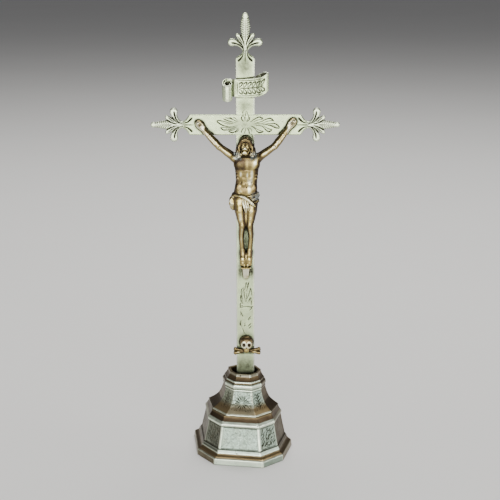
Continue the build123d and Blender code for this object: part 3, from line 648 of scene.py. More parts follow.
        # foot: heel, instep, ball, toes
        v.add(oval(ankle + (0, 1.9, -2.0), (1.7, 1.9, 2.2)), 0.8)
        ball = np.array((0.4 + s * 2.4, -8.35, 150.0))
        v.add(path([ankle + (0, -0.2, 0), 0.5 * (ankle + ball) + (0, -0.5, 0.1), ball], [2.1, 2.2, 1.85]), 0.9)
        v.add(oval(ball + (0, 0.6, 0.5), (2.2, 1.45, 2.5), (-14, 0, 0)), 0.7)
        v.add(path([(ankle[0], -7.15, 159.0), (ankle[0], -7.5, 155.4), (0.5 * (ankle[0] + ball[0]), -8.1, 152.4)], [1.6, 1.75, 1.85]), 1.2)
        for i in range(5):
            off = -s * 1.5 + s * 0.74 * i
            r = (0.68, 0.54, 0.5, 0.47, 0.43)[i]
            start = ball + np.array((off, -0.4, -0.5 + 0.1 * i))
            v.add(path([start, start + (0, -0.5, -0.9), start + (0, -0.45, -1.75 + 0.14 * i)], [r, r, r * 0.92]), 0.16)
        for i in range(3):
            v.cut(cone(ankle + (s * (0.5 * i - 0.5), -2.3, -2.0), 0.1, ball + (s * (0.75 * i - 0.75), -1.55, 0.8), 0.13), 0.4)
    # filled behind the feet, down to the upright
    v.add(oval((0.4, -4.2, 152.6), (3.6, 3.4, 3.0)), 0.7)
    v.add(oval((0.42, -7.3, 152.6), (2.3, 1.7, 4.8)), 1.3)
    v.add(oval((0.45, -7.6, 183.0), (1.9, 2.6, 5.6)), 0.9)
    v.cut(path([(0.42, -11.6, 192.0), (0.45, -12.4, 186.0), (0.5, -12.2, 180.5)], [0.3, 0.28, 0.25]), 0.7)

    # cloth: wrap over the right hip, rolled edge over both, falling fold between, knot and tail on the left
    def wrap(x, y, z):
        front = y < -5.0
        lower = np.where(front, np.interp(x, [-10, -6, -2, 1, 4, 7, 10], [198.8, 199.0, 198.2, 195.0, 192.6, 193.4, 195.0]), 195.4)
        upper = np.where(front, np.interp(x, [-10, -5, 0, 4, 10], [201.4, 201.2, 199.6, 200.6, 202.6]), 201.8)
        ang = np.arctan2(x, -(y + 6.0))
        fold = 0.20 * np.sin(7.0 * ang + 1.15 * (z - 197.0)) + 0.08 * np.sin(15.0 * ang - 1.4 * z)
        q = np.sqrt(((x - 0.1) / 9.15) ** 2 + ((y + 6.0) / 4.9) ** 2)
        d = (q - 1.0) * 5.0 - 0.35 - fold
        return smax(d, smax(lower - z, z - upper, 0.5), 0.5)

    v.add((wrap, np.array((-10.4, -12.2, 190.5)), np.array((10.4, -0.9, 203.2))), 0.25)
    # roll across the left hip, then down to the right
    v.add(path([(-9.2, -6.6, 199.9), (-7.2, -9.4, 200.5), (-4.0, -11.2, 200.4), (-0.6, -11.9, 199.5), (2.0, -12.1, 197.6), (4.4, -11.8, 195.2),
                (6.6, -10.9, 193.0)], [0.85, 1.0, 1.05, 1.2, 1.35, 1.35, 1.0]), 0.35)
    for o, r in ((0.55, 0.14), (-0.45, 0.16)):
        v.cut(path([(-6.0, -11.3, 200.6 + o), (-3.0, -12.5, 200.3 + o), (0.2, -13.2, 199.0 + o), (2.7, -13.5, 196.9 + o), (5.2, -12.9, 194.2 + o)],
                   [0.1, r, r, r, 0.1]), 0.35)
    v.add(path([(1.0, -11.4, 199.9), (4.2, -10.6, 200.3), (7.4, -8.6, 201.0), (9.4, -6.0, 201.6)], [0.7, 0.8, 0.75, 0.6]), 0.35)
    v.add(path([(3.2, -11.2, 197.9), (6.0, -10.0, 198.0), (9.2, -6.9, 199.0)], [0.5, 0.7, 0.55]), 0.3)
    v.add(path([(4.8, -11.2, 195.6), (7.3, -9.5, 195.6), (9.6, -6.3, 196.7)], [0.5, 0.65, 0.5]), 0.3)
    # falling fold
    v.add(path([(-1.8, -11.0, 198.8), (-1.6, -11.7, 195.4), (-0.7, -11.9, 192.0), (0.2, -11.6, 188.4)], [0.7, 0.85, 0.85, 0.45]), 0.35)
    v.add(path([(-0.2, -11.6, 198.0), (0.2, -12.2, 194.8), (1.0, -12.2, 191.8), (0.9, -11.6, 188.2)], [0.7, 0.8, 0.8, 0.4]), 0.3)
    v.add(path([(1.4, -11.8, 196.6), (1.9, -12.1, 194.0), (2.6, -11.9, 191.6), (1.9, -11.5, 189.2)], [0.6, 0.7, 0.65, 0.4]), 0.3)
    # knot and tail
    v.add(oval((-8.6, -7.4, 199.2), (1.5, 1.6, 1.5)), 0.5)
    v.add(oval((-9.35, -6.5, 194.0), (2.35, 1.35, 5.3), (0, -7, 0)), 0.5)
    for x0, x1, z1 in ((-8.4, -8.1, 189.4), (-8.8, -9.5, 189.6), (-9.3, -10.7, 191.0), (-9.7, -11.5, 193.4)):
        v.add(path([(x0, -7.5, 198.4), (0.5 * (x0 + x1) - 0.45, -7.9, 0.5 * (198.4 + z1)), (x1, -7.1, z1)], [0.4, 0.58, 0.4]), 0.25)

    # flat where the casting lies on the cross
    ya = np.broadcast_to(v.ax[1][None, :, None], v.f.shape)
    v.f = np.maximum(v.f, ya - (FRONT - 0.02))
    v.f = np.maximum(v.f, 146.75 - np.broadcast_to(v.ax[2][None, None, :], v.f.shape))
    return v


def soft_step(x, a, b):
    t = np.clip((x - a) / (b - a), 0, 1)
    return t * t * (3 - 2 * t)


corpus_volume = build_corpus()
cv, cq = main_shell(*skin(corpus_volume))
cv = relax(cv, cq, 1, 0.35)
ch = hollowness(cv, cq, 6, 0.22)
ch2 = hollowness(cv, cq, 26, 0.8)
cn = normals_of(relax(cv, cq, 7), cq)
px, pz = cv[:, 0], cv[:, 2]
locks = soft_step(pz, 225.5, 227.5) * soft_step(np.abs(px - 0.3), 2.6, 3.8) * soft_step(-np.abs(px), -9.0, -7.0) * soft_step(-pz, -233.0, -230.0)
cloth = soft_step(pz, 192, 195) * soft_step(-pz, -203, -201)
crown = soft_step(pz, 236.2, 238.2) * (np.abs(px) < 8)
hair = soft_step(pz, 229.0, 231.0) * soft_step(np.abs(px - 0.3), 2.6, 3.4) * (np.abs(px) < 8)
right_hip = cloth * soft_step(px, 3.5, 5.0) * soft_step(pz, 196, 198)
# painted highlight: brightening where the surface faces the front light, on top of rubbing on the ridges
facing = -cn[:, 1] * 0.97 - 0.10 * cn[:, 0] - 0.10 * cn[:, 2]
front_light = soft_step(facing, 0.78, 1.0)
ridge = np.clip(-0.9 * ch - 0.65 * ch2, -0.5, 0.7) * soft_step(facing, 0.1, 0.6)
rub = 0.66 * front_light + ridge
limbs = soft_step(np.abs(px - 0.7), 9.5, 12.0)
shins = soft_step(pz, 155.0, 157.5) * soft_step(-pz, -182.0, -178.0)
rub = rub * (1 - 0.30 * shins)


def spot(cx, cz, rx, rz):
    return np.exp(-(((px - cx) / rx) ** 2 + ((pz - cz) / rz) ** 2))


trunk = soft_step(pz, 200.5, 202.5) * soft_step(-pz, -228.5, -226.5) * soft_step(-np.abs(px - 1.0), -9.5, -7.8)
rub = rub * (1 - 0.72 * trunk)
left_chest = trunk * soft_step(pz, 217.0, 219.0) * soft_step(-px, -1.5, 1.5)
rub = rub * (1 - 0.75 * left_chest)
# bright spots on the chest and belly: painted highlight
for cx, cz, rx, rz, much in ((-3.3, 215.8, 1.0, 2.3, 0.85), (1.4, 215.4, 0.8, 2.2, 0.75), (4.7, 216.0, 1.1, 2.8, 1.0), (2.6, 211.0, 3.4, 2.3, 0.50),
                             (4.6, 208.0, 1.0, 5.5, 0.55), (2.8, 204.4, 1.2, 4.6, 0.95), (-3.4, 207.2, 0.9, 0.9, 0.6), (-3.6, 203.2, 1.4, 1.1, 0.65),
                             (7.0, 224.6, 1.4, 2.4, 1.0), (5.9, 221.4, 1.2, 1.8, 0.5), (1.2, 223.0, 0.7, 2.6, 0.35), (-4.0, 222.5, 2.4, 1.6, 0.10)):
    rub = rub + much * trunk * spot(cx, cz, rx, rz) * soft_step(facing, 0.3, 0.7)
# hands, soles and the front of the cloth brightened where they face the front: painted highlight
palms = soft_step(np.abs(px - 0.4), 28.0, 29.6)
rub = np.maximum(rub, 0.92 * palms * soft_step(facing, 0.25, 0.7) * np.clip(1 - 1.4 * ch, 0, 1))
soles = soft_step(-pz, -155.0, -152.0)
rub = np.maximum(rub, 0.44 * soles * soft_step(facing, 0.3, 0.75) * np.clip(1 - 1.9 * ch, 0, 1))
drape = soft_step(pz, 190.0, 192.5) * soft_step(-pz, -202.0, -201.0) * soft_step(-np.abs(px), -7.0, -5.5) * soft_step(-cv[:, 1], 11.5, 12.4)
rub = np.maximum(rub, 0.95 * drape * soft_step(facing, 0.2, 0.65) * np.clip(1 - 1.8 * ch, 0, 1))
rub = np.where(soles > 0, np.minimum(rub, 0.60 + 0.4 * (1 - soles)), rub)
rub = np.clip(rub * (1 - 0.80 * crown) * (1 - 0.65 * hair), 0, 1)
# painted shade: darker where the surface turns away from the front light, less on the arms, hands and crown
away = -cn[:, 1] * 0.95 - 0.28 * cn[:, 0] - 0.30 * cn[:, 2]
pecs = trunk * soft_step(pz, 218.4, 220.2)
ankles = soft_step(-pz, -161.5, -158.5) * soft_step(pz, 148.5, 150.5) * soft_step(facing, 0.2, 0.6)
shade = 1.15 * soft_step(-away, -0.86, -0.32) * (1 - 0.65 * limbs) * (1 - 0.5 * palms) * (1 - 0.45 * crown) + 0.6 * cloth * soft_step(px, 6.2, 7.6)
shade = shade * (1 - 0.6 * ankles)
knot = soft_step(-px, 7.0, 7.8) * soft_step(pz, 186.5, 188.5) * soft_step(-pz, -201.5, -200.0)
marks = np.zeros(len(cv))
for hx, hz in ((-31.9, 249.5), (32.9, 250.8)):
    ring = np.hypot(px - hx, pz - hz)
    marks = np.maximum(marks, soft_step(ring, 1.05, 1.35) * soft_step(-ring, -2.1, -1.7))
# painted shade on the chest and down both sides of the trunk, wider on the right
shade = np.clip(shade + 0.9 * pecs * (1 - rub) + 0.75 * trunk * soft_step(px, 5.4, 7.6) + 0.45 * trunk * soft_step(-px, 5.0, 6.6), 0, 1)
# hollows darkened as patina, with painted shade in the deeper creases; dark nail marks
corpus_obj = mesh_object(
    "corpus_casting", cv, cq, BRONZE, "cross",
    {"rub": rub, "hollow": np.clip((1.5 * ch * (1 + 0.6 * knot + 0.5 * soles) + 1.15 * ch2 * (1 - 0.75 * ankles)) * (1 - 0.5 * ankles * (1 - soles)) - 0.11 + 0.75 * marks, 0, 1), "shade": shade,
     "bloom": np.clip(0.95 * locks + 0.75 * right_hip, 0, 1) * np.clip(0.75 + 0.6 * ch, 0, 1)},
    replaces=("corpus",))


# ------------------------------------------------------------------ flat work: outlines, relief, engraving
def poly_sdf(x, z, loop):
    """Signed distance to a closed loop of points, negative inside."""
    p = np.asarray(loop, float)
    q = np.roll(p, -1, axis=0)
    best = np.full(x.shape, 1e9)
    odd = np.zeros(x.shape, bool)
    for (ax, az), (bx, bz) in zip(p, q):
        ex, ez = bx - ax, bz - az
        wx, wz = x - ax, z - az
        t = np.clip((wx * ex + wz * ez) / (ex * ex + ez * ez + 1e-12), 0, 1)
        best = np.minimum(best, (wx - t * ex) ** 2 + (wz - t * ez) ** 2)
        if az != bz:
            odd ^= ((az > z) != (bz > z)) & (x < ex * (z - az) / ez + ax)
    return np.sqrt(best) * np.where(odd, -1.0, 1.0)


def soften(loop, times=2):
    """Closed loop with its corners cut."""
    p = np.asarray(loop, float)
    for _ in range(times):
        n = np.roll(p, -1, axis=0)
        p = np.stack([0.75 * p + 0.25 * n, 0.25 * p + 0.75 * n], 1).reshape(-1, 2)
    return p


def curve(points, n=14):
    """Open smooth line through points."""
    p = np.asarray(points, float)
    if len(p) < 3:
        return np.array([p[0] + (p[-1] - p[0]) * t for t in np.linspace(0, 1, n)])
    e = np.concatenate([[2 * p[0] - p[1]], p, [2 * p[-1] - p[-2]]])
    out = []
    for i in range(1, len(e) - 2):
        a, b, c, d = e[i - 1], e[i], e[i + 1], e[i + 2]
        for t in np.linspace(0, 1, n, endpoint=False):
            out.append(0.5 * (2 * b + (c - a) * t + (2 * a - 5 * b + 4 * c - d) * t * t + (3 * b - a - 3 * c + d) * t ** 3))
    out.append(p[-1])
    return np.array(out)


def tube2(x, z, points, radii):
    """Signed distance to a line of changing half-width."""
    pts = np.asarray(points, float)
    best = np.full(x.shape, 1e9)
    for i in range(len(pts) - 1):
        (ax, az), (bx, bz) = pts[i], pts[i + 1]
        ex, ez = bx - ax, bz - az
        t = np.clip(((x - ax) * ex + (z - az) * ez) / (ex * ex + ez * ez + 1e-12), 0, 1)
        d = np.hypot(x - ax - t * ex, z - az - t * ez) - (radii[i] + t * (radii[i + 1] - radii[i]))
        best = np.minimum(best, d)
    return best


def cuts(x, z, strokes):
    """Depth and dirt of engraved strokes; each is (points, half-width, heavy place 0 to 1)."""
    depth, dirt = np.zeros(x.shape), np.zeros(x.shape)
    for points, width, heavy in strokes:
        line = curve(points, 8)
        t = np.linspace(0, 1, len(line))
        w = width * (0.46 + 0.54 * np.exp(-((t - heavy) / 0.42) ** 2)) * np.clip(np.minimum(t, 1 - t) * 9 + 0.12, 0, 1)
        lo, hi = line.min(axis=0) - 2 * width, line.max(axis=0) + 2 * width
        near = (x > lo[0]) & (x < hi[0]) & (z > lo[1]) & (z < hi[1])
        if not near.any():
            continue
        px, pz = x[near], z[near]
        rel = np.full(px.shape, 9.0)
        wid = np.zeros(px.shape)
        for i in range(len(line) - 1):
            (ax, az), (bx, bz) = line[i], line[i + 1]
            ex, ez = bx - ax, bz - az
            s = np.clip(((px - ax) * ex + (pz - az) * ez) / (ex * ex + ez * ez + 1e-12), 0, 1)
            hw = w[i] + s * (w[i + 1] - w[i]) + 1e-4
            r = np.hypot(px - ax - s * ex, pz - az - s * ez) / hw
            wid = np.where(r < rel, hw, wid)
            rel = np.minimum(rel, r)
        depth[near] = np.maximum(depth[near], np.clip(1 - rel, 0, 1) * wid * 0.95)
        dirt[near] = np.maximum(dirt[near], np.clip(1.9 * (1.15 - rel), 0, 1) * np.clip(wid / 0.15, 0.45, 1))
    return depth, dirt


def leaf_strokes(base, tip, bend=0.0, width=1.0, weight=0.28, rib=True):
    """A leaf drawn with two outlines and a rib, heavier toward its tip."""
    b, t = np.array(base, float), np.array(tip, float)
    d = t - b
    n = np.array((-d[1], d[0])) / (np.hypot(*d) + 1e-9)
    mid = b + 0.55 * d + n * bend
    out = [([b, mid + n * width, t], weight, 0.75), ([b, mid - n * width, t], weight, 0.75)]
    if rib:
        out.append(([b + 0.2 * d + 0.2 * n * bend, mid, b + 0.82 * d + 0.55 * n * bend], weight * 0.6, 0.4))
    return out


def dome(d, w):
    q = 1.0 - np.clip(-d / w, 0, 1)
    return np.sqrt(np.clip(1.0 - q * q, 0, 1))


def halo_of(volume, y0, y1):
    """How close each place in the x-z plane is to a volume that stands in front of it."""
    pick = (volume.ax[1] >= y0) & (volume.ax[1] <= y1)
    m = volume.f[:, pick, :].min(axis=1)

    def fn(x, z):
        fx = np.clip((x - volume.ax[0][0]) / volume.step[0], 0, m.shape[0] - 1.001)
        fz = np.clip((z - volume.ax[2][0]) / volume.step[2], 0, m.shape[1] - 1.001)
        i, j = fx.astype(int), fz.astype(int)
        u, w = fx - i, fz - j
        v = (m[i, j] * (1 - u) * (1 - w) + m[i + 1, j] * u * (1 - w) + m[i, j + 1] * (1 - u) * w + m[i + 1, j + 1] * u * w)
        out = (x < volume.ax[0][0]) | (x > volume.ax[0][-1]) | (z < volume.ax[2][0]) | (z > volume.ax[2][-1])
        return np.where(out, 3.0, v)

    return fn


def plate(name, xs, zs, outline, front, back, material, body, attrs, replaces, lap=None, rim=0.22):
    """A flat piece of work: fine relief on the front, walls along the outline, plain back.

    front(x, z) is the height of the front above the middle plane, back its depth behind it;
    lap is (half-width in x, depth) of a shallow recess across the back."""
    step = min(np.diff(xs).min(), np.diff(zs).min())
    gx, gz = np.meshgrid(xs, zs, indexing="ij")
    inside = outline(gx, gz) < -0.32 * step
    ok = inside[:-1, :-1] & inside[1:, :-1] & inside[:-1, 1:] & inside[1:, 1:]
    while True:
        a, b, c, d = ok[:-1, :-1], ok[1:, :-1], ok[:-1, 1:], ok[1:, 1:]
        p1, p2 = a & d & ~b & ~c, b & c & ~a & ~d
        if not (p1.any() or p2.any()):
            break
        ok[:-1, :-1] &= ~p1
        ok[1:, :-1] &= ~p2
    # only the one connected piece
    label = np.zeros(ok.shape, bool)
    start = np.argwhere(ok)
    start = start[np.argmin(np.abs(xs[start[:, 0]]) + np.abs(zs[start[:, 1]] - CROSS_Z))]
    todo = [tuple(start)]
    label[todo[0]] = True
    while todo:
        i, j = todo.pop()
        for a, b in ((i + 1, j), (i - 1, j), (i, j + 1), (i, j - 1)):
            if 0 <= a < ok.shape[0] and 0 <= b < ok.shape[1] and ok[a, b] and not label[a, b]:
                label[a, b] = True
                todo.append((a, b))
    cells = np.argwhere(label)
    width = len(zs)
    ids = np.stack([cells[:, 0] * width + cells[:, 1], (cells[:, 0] + 1) * width + cells[:, 1],
                    (cells[:, 0] + 1) * width + cells[:, 1] + 1, cells[:, 0] * width + cells[:, 1] + 1], 1)
    used, quads = np.unique(ids, return_inverse=True)
    quads = quads.reshape(ids.shape)
    x, z = gx.ravel()[used].copy(), gz.ravel()[used].copy()
    directed = np.concatenate([quads[:, [0, 1]], quads[:, [1, 2]], quads[:, [2, 3]], quads[:, [3, 0]]])
    n = len(used)
    codes = directed[:, 0].astype(np.int64) * n + directed[:, 1]
    back_codes = directed[:, 1].astype(np.int64) * n + directed[:, 0]
    rimset = directed[~np.isin(codes, back_codes)]
    follow = dict(zip(rimset[:, 0].tolist(), rimset[:, 1].tolist()))
    first = rimset[np.argmin(x[rimset[:, 0]]), 0]
    loop = [int(first)]
    while follow[loop[-1]] != loop[0]:
        loop.append(follow[loop[-1]])
    loop = np.array(loop)

    def slope(px, pz):
        e = 0.03
        return ((outline(px + e, pz) - outline(px - e, pz)) / (2 * e), (outline(px, pz + e) - outline(px, pz - e)) / (2 * e))

    lx, lz = x[loop], z[loop]
    for _ in range(4):
        d = outline(lx, lz)
        sx, sz = slope(lx, lz)
        g = np.maximum(sx * sx + sz * sz, 0.25)
        move = np.clip(d, -0.3, 0.3) / g
        lx, lz = lx - move * sx, lz - move * sz
    x[loop], z[loop] = lx, lz
    # ease the rows next to the outline
    ring = np.zeros(n, bool)
    ring[loop] = True
    near = ring.copy()
    e = edges_of(quads)
    for _ in range(3):
        near[e[near[e[:, 0]], 1]] = True
        near[e[near[e[:, 1]], 0]] = True
    near &= ~ring
    deg = np.maximum(np.bincount(e[:, 0], minlength=n) + np.bincount(e[:, 1], minlength=n), 1)
    for _ in range(6):
        for c in (x, z):
            m = (np.bincount(e[:, 0], c[e[:, 1]], n) + np.bincount(e[:, 1], c[e[:, 0]], n)) / deg
            c[near] += 0.5 * (m[near] - c[near])
    y = -front(x, z)

    k = len(loop)
    sx, sz = slope(x[loop], z[loop])
    g = np.maximum(np.hypot(sx, sz), 0.3)
    nx, nz = sx / g, sz / g
    behind = np.full(k, back)
    if lap:
        behind[np.abs(x[loop]) < lap[0] + 1e-6] = lap[1]
    v1 = np.stack([x[loop], behind - rim, z[loop]], 1)
    v2 = np.stack([x[loop] - nx * rim, behind, z[loop] - nz * rim], 1)
    verts = np.concatenate([np.stack([x, y, z], 1), v1, v2])
    nxt = np.roll(np.arange(k), -1)
    walls = np.concatenate([np.stack([loop[nxt], loop, n + np.arange(k), n + nxt], 1),
                            np.stack([n + nxt, n + np.arange(k), n + k + np.arange(k), n + k + nxt], 1)])
    groups = [list(range(k))]
    strips = []
    if lap:
        inner = behind < back - 0.01
        turn = int(np.argmax(inner != np.roll(inner, 1)))
        order = [(turn + i) % k for i in range(k)]
        runs, last = [], None
        for i in order:
            if inner[i] != last:
                runs.append([])
                last = inner[i]
            runs[-1].append(i)
        mids = [r for r in runs if inner[r[0]]]
        groups = [r for r in runs if not inner[r[0]]] + [mids[0] + mids[1]]
        for r in runs:
            if not inner[r[0]]:
                strips.append((r[0], (r[0] - 1) % k, (r[-1] + 1) % k, r[-1]))
    tris = []
    for gset in groups:
        for t in tessellate_polygon([[Vector((v2[i, 0], v2[i, 2], 0.0)) for i in gset]]):
            t = [gset[i] for i in t]
            (ax, az), (bx, bz), (cx, cz) = ((v2[i, 0], v2[i, 2]) for i in t)
            area = (bx - ax) * (cz - az) - (bz - az) * (cx - ax)
            if abs(area) > 1e-9:
                tris.append(t if area < 0 else t[::-1])
    tris = n + k + np.array(tris)
    steps = [[n + k + i for i in s] for s in strips]
    values = {key: np.concatenate([fn(x, z), np.full(2 * k, other)]) for key, (fn, other) in attrs.items()}
    faces = [quads, walls] + ([np.array(steps)] if steps else []) + [tris]
    ob = mesh_object(name, verts, faces, material, body, values, replaces)
    flat = np.ones(len(ob.data.polygons), bool)
    flat[len(quads) + len(walls):] = False
    ob.data.polygons.foreach_set("use_smooth", flat)
    return ob


# ------------------------------------------------------------------ leafy ends of the cross
def neck_loop(half, more):
    return [(-14, -2), (-14, half), (-5.75, half), (-5.1, half - 0.3), (-4.2, 5.4), (-3.0, 3.6 + 0.5 * more), (-1.9, 2.4 + more), (-0.7, 1.9 + more),
            (0.6, 1.9 + more), (1.6, 2.3 + 0.8 * more), (2.6, 2.9 + 0.5 * more), (6.6, 2.4), (7.4, 1.6), (7.4, -2)]


LOBE = [(1.0, 0.7), (3.6, 2.9), (5.2, 5.6), (5.75, 7.8), (5.8, 9.3)]
LOBE_R = [1.5, 1.65, 1.95, 2.45, 2.75]
SMALL_LEAF = soften([(4.2, 0.7), (7.5, 0.9), (10.4, 2.2), (11.5, 4.1), (12.0, 5.8), (11.2, 6.8), (9.6, 6.3), (7.4, 4.9), (5.4, 3.4)], 2)


def leafy_end(u, v, reach, wide, bud, half_bar):
    """Outline distance, front height, and feathering of one end; u runs out from the neck, v across."""
    a = np.abs(v)
    neck = poly_sdf(u, a, neck_loop(half_bar, 0.62 if bud else 0.0))
    lobe = tube2(u, a, curve(LOBE, 4), np.interp(np.linspace(0, 1, 4 * (len(LOBE) - 1) + 1), np.linspace(0, 1, len(LOBE)), LOBE_R))
    small = poly_sdf(u, a, SMALL_LEAF)
    tip = reach - 1.0 if bud else reach
    half = np.interp(u, [5.6, 7.0, wide - 2.5, wide, 0.5 * (wide + tip), tip - 3.2, tip - 1.4, tip - 0.4, tip],
                     [1.4, 2.1, 3.3, 3.55, 3.1, 2.3, 1.95, 1.5, 0.35])
    if bud:
        half = np.interp(u, [5.6, 7.0, 9.0, 11.0, 14.0, 17.0, 18.6, tip - 0.4, tip], [2.4, 3.1, 3.45, 3.3, 2.85, 2.3, 1.85, 1.25, 0.35])
    tooth = (u - 0.55 * a) / 1.55
    tooth = tooth - np.floor(tooth)
    half = half - 0.36 * tooth * np.clip((u - 8.0) / 2, 0, 1) * np.clip((tip - 2.5 - u) / 2, 0, 1)
    spear = np.maximum(np.maximum((a - half) * 0.93, 5.6 - u), u - tip)
    if bud:
        spear = np.minimum(spear, np.hypot((u - (reach - 2.1)) / 1.05, v) - 1.9)
    d = smin(smin(neck, lobe, 0.5), smin(small, spear, 0.35), 0.25)
    shelf = 1.3 - np.clip(0.85 + neck, 0, 2) * 0.5 - 0.28 * np.clip((u + 1.5) / 3.0, 0, 1)
    h = np.where(neck < 0, shelf, 0.2)
    h = np.maximum(h, np.where(lobe < 0.06, 0.5 + 0.8 * dome(lobe, 1.5), 0))
    h = np.maximum(h, np.where(small < 0.06, 0.42 + 0.65 * dome(small, 0.85), 0))
    feather = 0.34 * tooth * np.clip((a - 0.5) / 0.8, 0, 1) * np.clip((u - 7.5) / 2, 0, 1) * np.clip((tip - 1.2 - u) / 2, 0, 1)
    h = np.maximum(h, np.where(spear < 0.06, 0.55 + 0.69 * dome(spear, 1.2) - feather, 0))
    h = np.maximum(h, np.where((a < 1.25) & (u > 0) & (u < 8), 1.22 - 0.25 * (a / 1.25) ** 2 - 0.1 * np.clip(u - 6, 0, 2), 0))
    return d, np.clip(h, 0.3, 1.3), feather


def end_strokes(reach):
    out = [([(0.6, 0.0), (-3.5, 0.0), (-8.4, 0.0)], 0.40, 0.35), ([(7.0, 0.0), (11.0, 0.0), (reach - 3.0, 0.0)], 0.40, 0.2)]
    for s in (1, -1):
        out.append(([(-0.6, s * 1.2), (-3.4, s * 1.8), (-5.4, s * 3.2), (-7.4, s * 5.2)], 0.74, 0.8))
        out.append(([(-1.4, s * 1.2), (0.6, s * 1.2), (2.2, s * 1.9), (4.1, s * 4.2), (5.2, s * 7.2), (5.5, s * 10.2)], 0.66, 0.75))
        out.append(([(1.6, s * 0.9), (4.0, s * 2.2), (6.0, s * 4.2), (6.9, s * 5.8)], 0.66, 0.7))
        out.append(([(3.2, s * 0.6), (6.4, s * 1.3), (9.2, s * 2.6), (11.0, s * 3.9)], 0.66, 0.65))
        out.append(([(5.2, s * 1.9), (8.0, s * 3.8), (10.0, s * 5.4)], 0.40, 0.5))
    return out


ENDS = {"left": (lambda x, z: (-x - SIDE_NECK_X, z - CROSS_Z), SIDE_SPEAR, 10.8, True, CROSSBAR_H / 2),
        "right": (lambda x, z: (x - SIDE_NECK_X, z - CROSS_Z), SIDE_SPEAR, 10.8, True, CROSSBAR_H / 2),
        "top": (lambda x, z: (z - TOP_NECK_Z, x), TOP_SPEAR, 16.0, False, BAR_W / 2)}


def end_maps(which, x, z):
    to_local, reach, wide, bud, half = ENDS[which]
    u, v = to_local(x, z)
    u, v = np.asarray(u, float) + 0 * v, np.asarray(v, float) + 0 * u
    d, h = np.full(u.shape, 9.0), np.full(u.shape, 1.3)
    near = u > -9.0
    if near.any():
        dd, hh, _ = leafy_end(u[near], v[near], reach, wide, bud, half)
        d[near], h[near] = dd, hh
    return u, v, d, h


# ------------------------------------------------------------------ engraving on the flats
def crossing_strokes():
    s = []

    def at(cx, cy):
        return ((cx - 750) / 21.2, CROSS_Z + (363 - cy) / 20.2)

    def line(pts, w, heavy):
        s.append(([at(*p) for p in pts], 1.22 * w, heavy))

    # spray to the left
    line([(600, 352), (500, 330), (400, 306), (322, 296)], 0.28, 0.9)
    line([(640, 372), (520, 392), (420, 372), (345, 330), (320, 298)], 0.36, 0.75)
    line([(560, 352), (470, 345), (390, 325)], 0.17, 0.3)
    line([(630, 338), (520, 312), (410, 272)], 0.26, 0.8)
    line([(640, 322), (560, 282), (512, 252)], 0.32, 0.85)
    line([(600, 300), (520, 272), (445, 258)], 0.20, 0.7)
    line([(650, 318), (600, 268), (560, 250)], 0.2, 0.7)
    line([(640, 388), (540, 425), (440, 437), (400, 425), (375, 396)], 0.34, 0.7)
    line([(620, 398), (520, 408), (430, 402), (378, 394)], 0.2, 0.6)
    line([(650, 400), (610, 452), (550, 474), (490, 452)], 0.34, 0.6)
    line([(630, 412), (560, 440), (492, 450)], 0.22, 0.7)
    line([(660, 410), (640, 450), (590, 478)], 0.2, 0.6)
    # spray to the right
    line([(850, 352), (1000, 348), (1120, 372), (1200, 402), (1272, 412)], 0.34, 0.85)
    line([(1040, 352), (1120, 345), (1190, 345), (1240, 372), (1272, 410)], 0.36, 0.8)
    line([(1090, 362), (1160, 372), (1215, 390)], 0.18, 0.4)
    line([(870, 345), (980, 318), (1060, 282), (1130, 270), (1185, 312)], 0.34, 0.85)
    line([(1000, 340), (1080, 312), (1150, 300), (1182, 312)], 0.22, 0.7)
    line([(820, 330), (880, 285), (960, 250), (1025, 278)], 0.36, 0.75)
    line([(850, 335), (920, 300), (990, 282), (1022, 280)], 0.2, 0.6)
    line([(870, 365), (1000, 380), (1050, 430), (1105, 460), (1160, 432)], 0.36, 0.75)
    line([(1010, 365), (1070, 405), (1120, 425), (1160, 430)], 0.24, 0.7)
    line([(830, 375), (890, 410), (930, 462), (980, 474), (1030, 460)], 0.36, 0.75)
    line([(850, 372), (920, 420), (970, 445), (1028, 458)], 0.22, 0.7)
    # short leaves up and down
    line([(735, 320), (700, 290), (692, 262), (716, 224)], 0.34, 0.5)
    line([(745, 320), (742, 270), (718, 226)], 0.18, 0.6)
    line([(760, 320), (790, 285), (800, 250), (770, 150)], 0.2, 0.6)
    line([(752, 310), (750, 240), (770, 152)], 0.16, 0.6)
    line([(765, 325), (810, 290), (812, 262), (790, 232)], 0.26, 0.6)
    line([(728, 230), (712, 190), (722, 150)], 0.18, 0.5)
    line([(740, 400), (705, 430), (690, 482)], 0.26, 0.7)
    line([(755, 402), (752, 440), (730, 500)], 0.2, 0.6)
    line([(768, 402), (800, 440), (812, 500)], 0.28, 0.7)
    line([(780, 395), (840, 430), (850, 480)], 0.16, 0.6)
    # feathered strokes beside the head
    for i in range(6):
        s.append(([(3.4 + 0.45 * i, 243.4 - 1.35 * i), (5.0 + 0.3 * i, 242.2 - 1.5 * i), (5.9, 239.9 - 1.5 * i)], 0.26, 0.6))
    return s


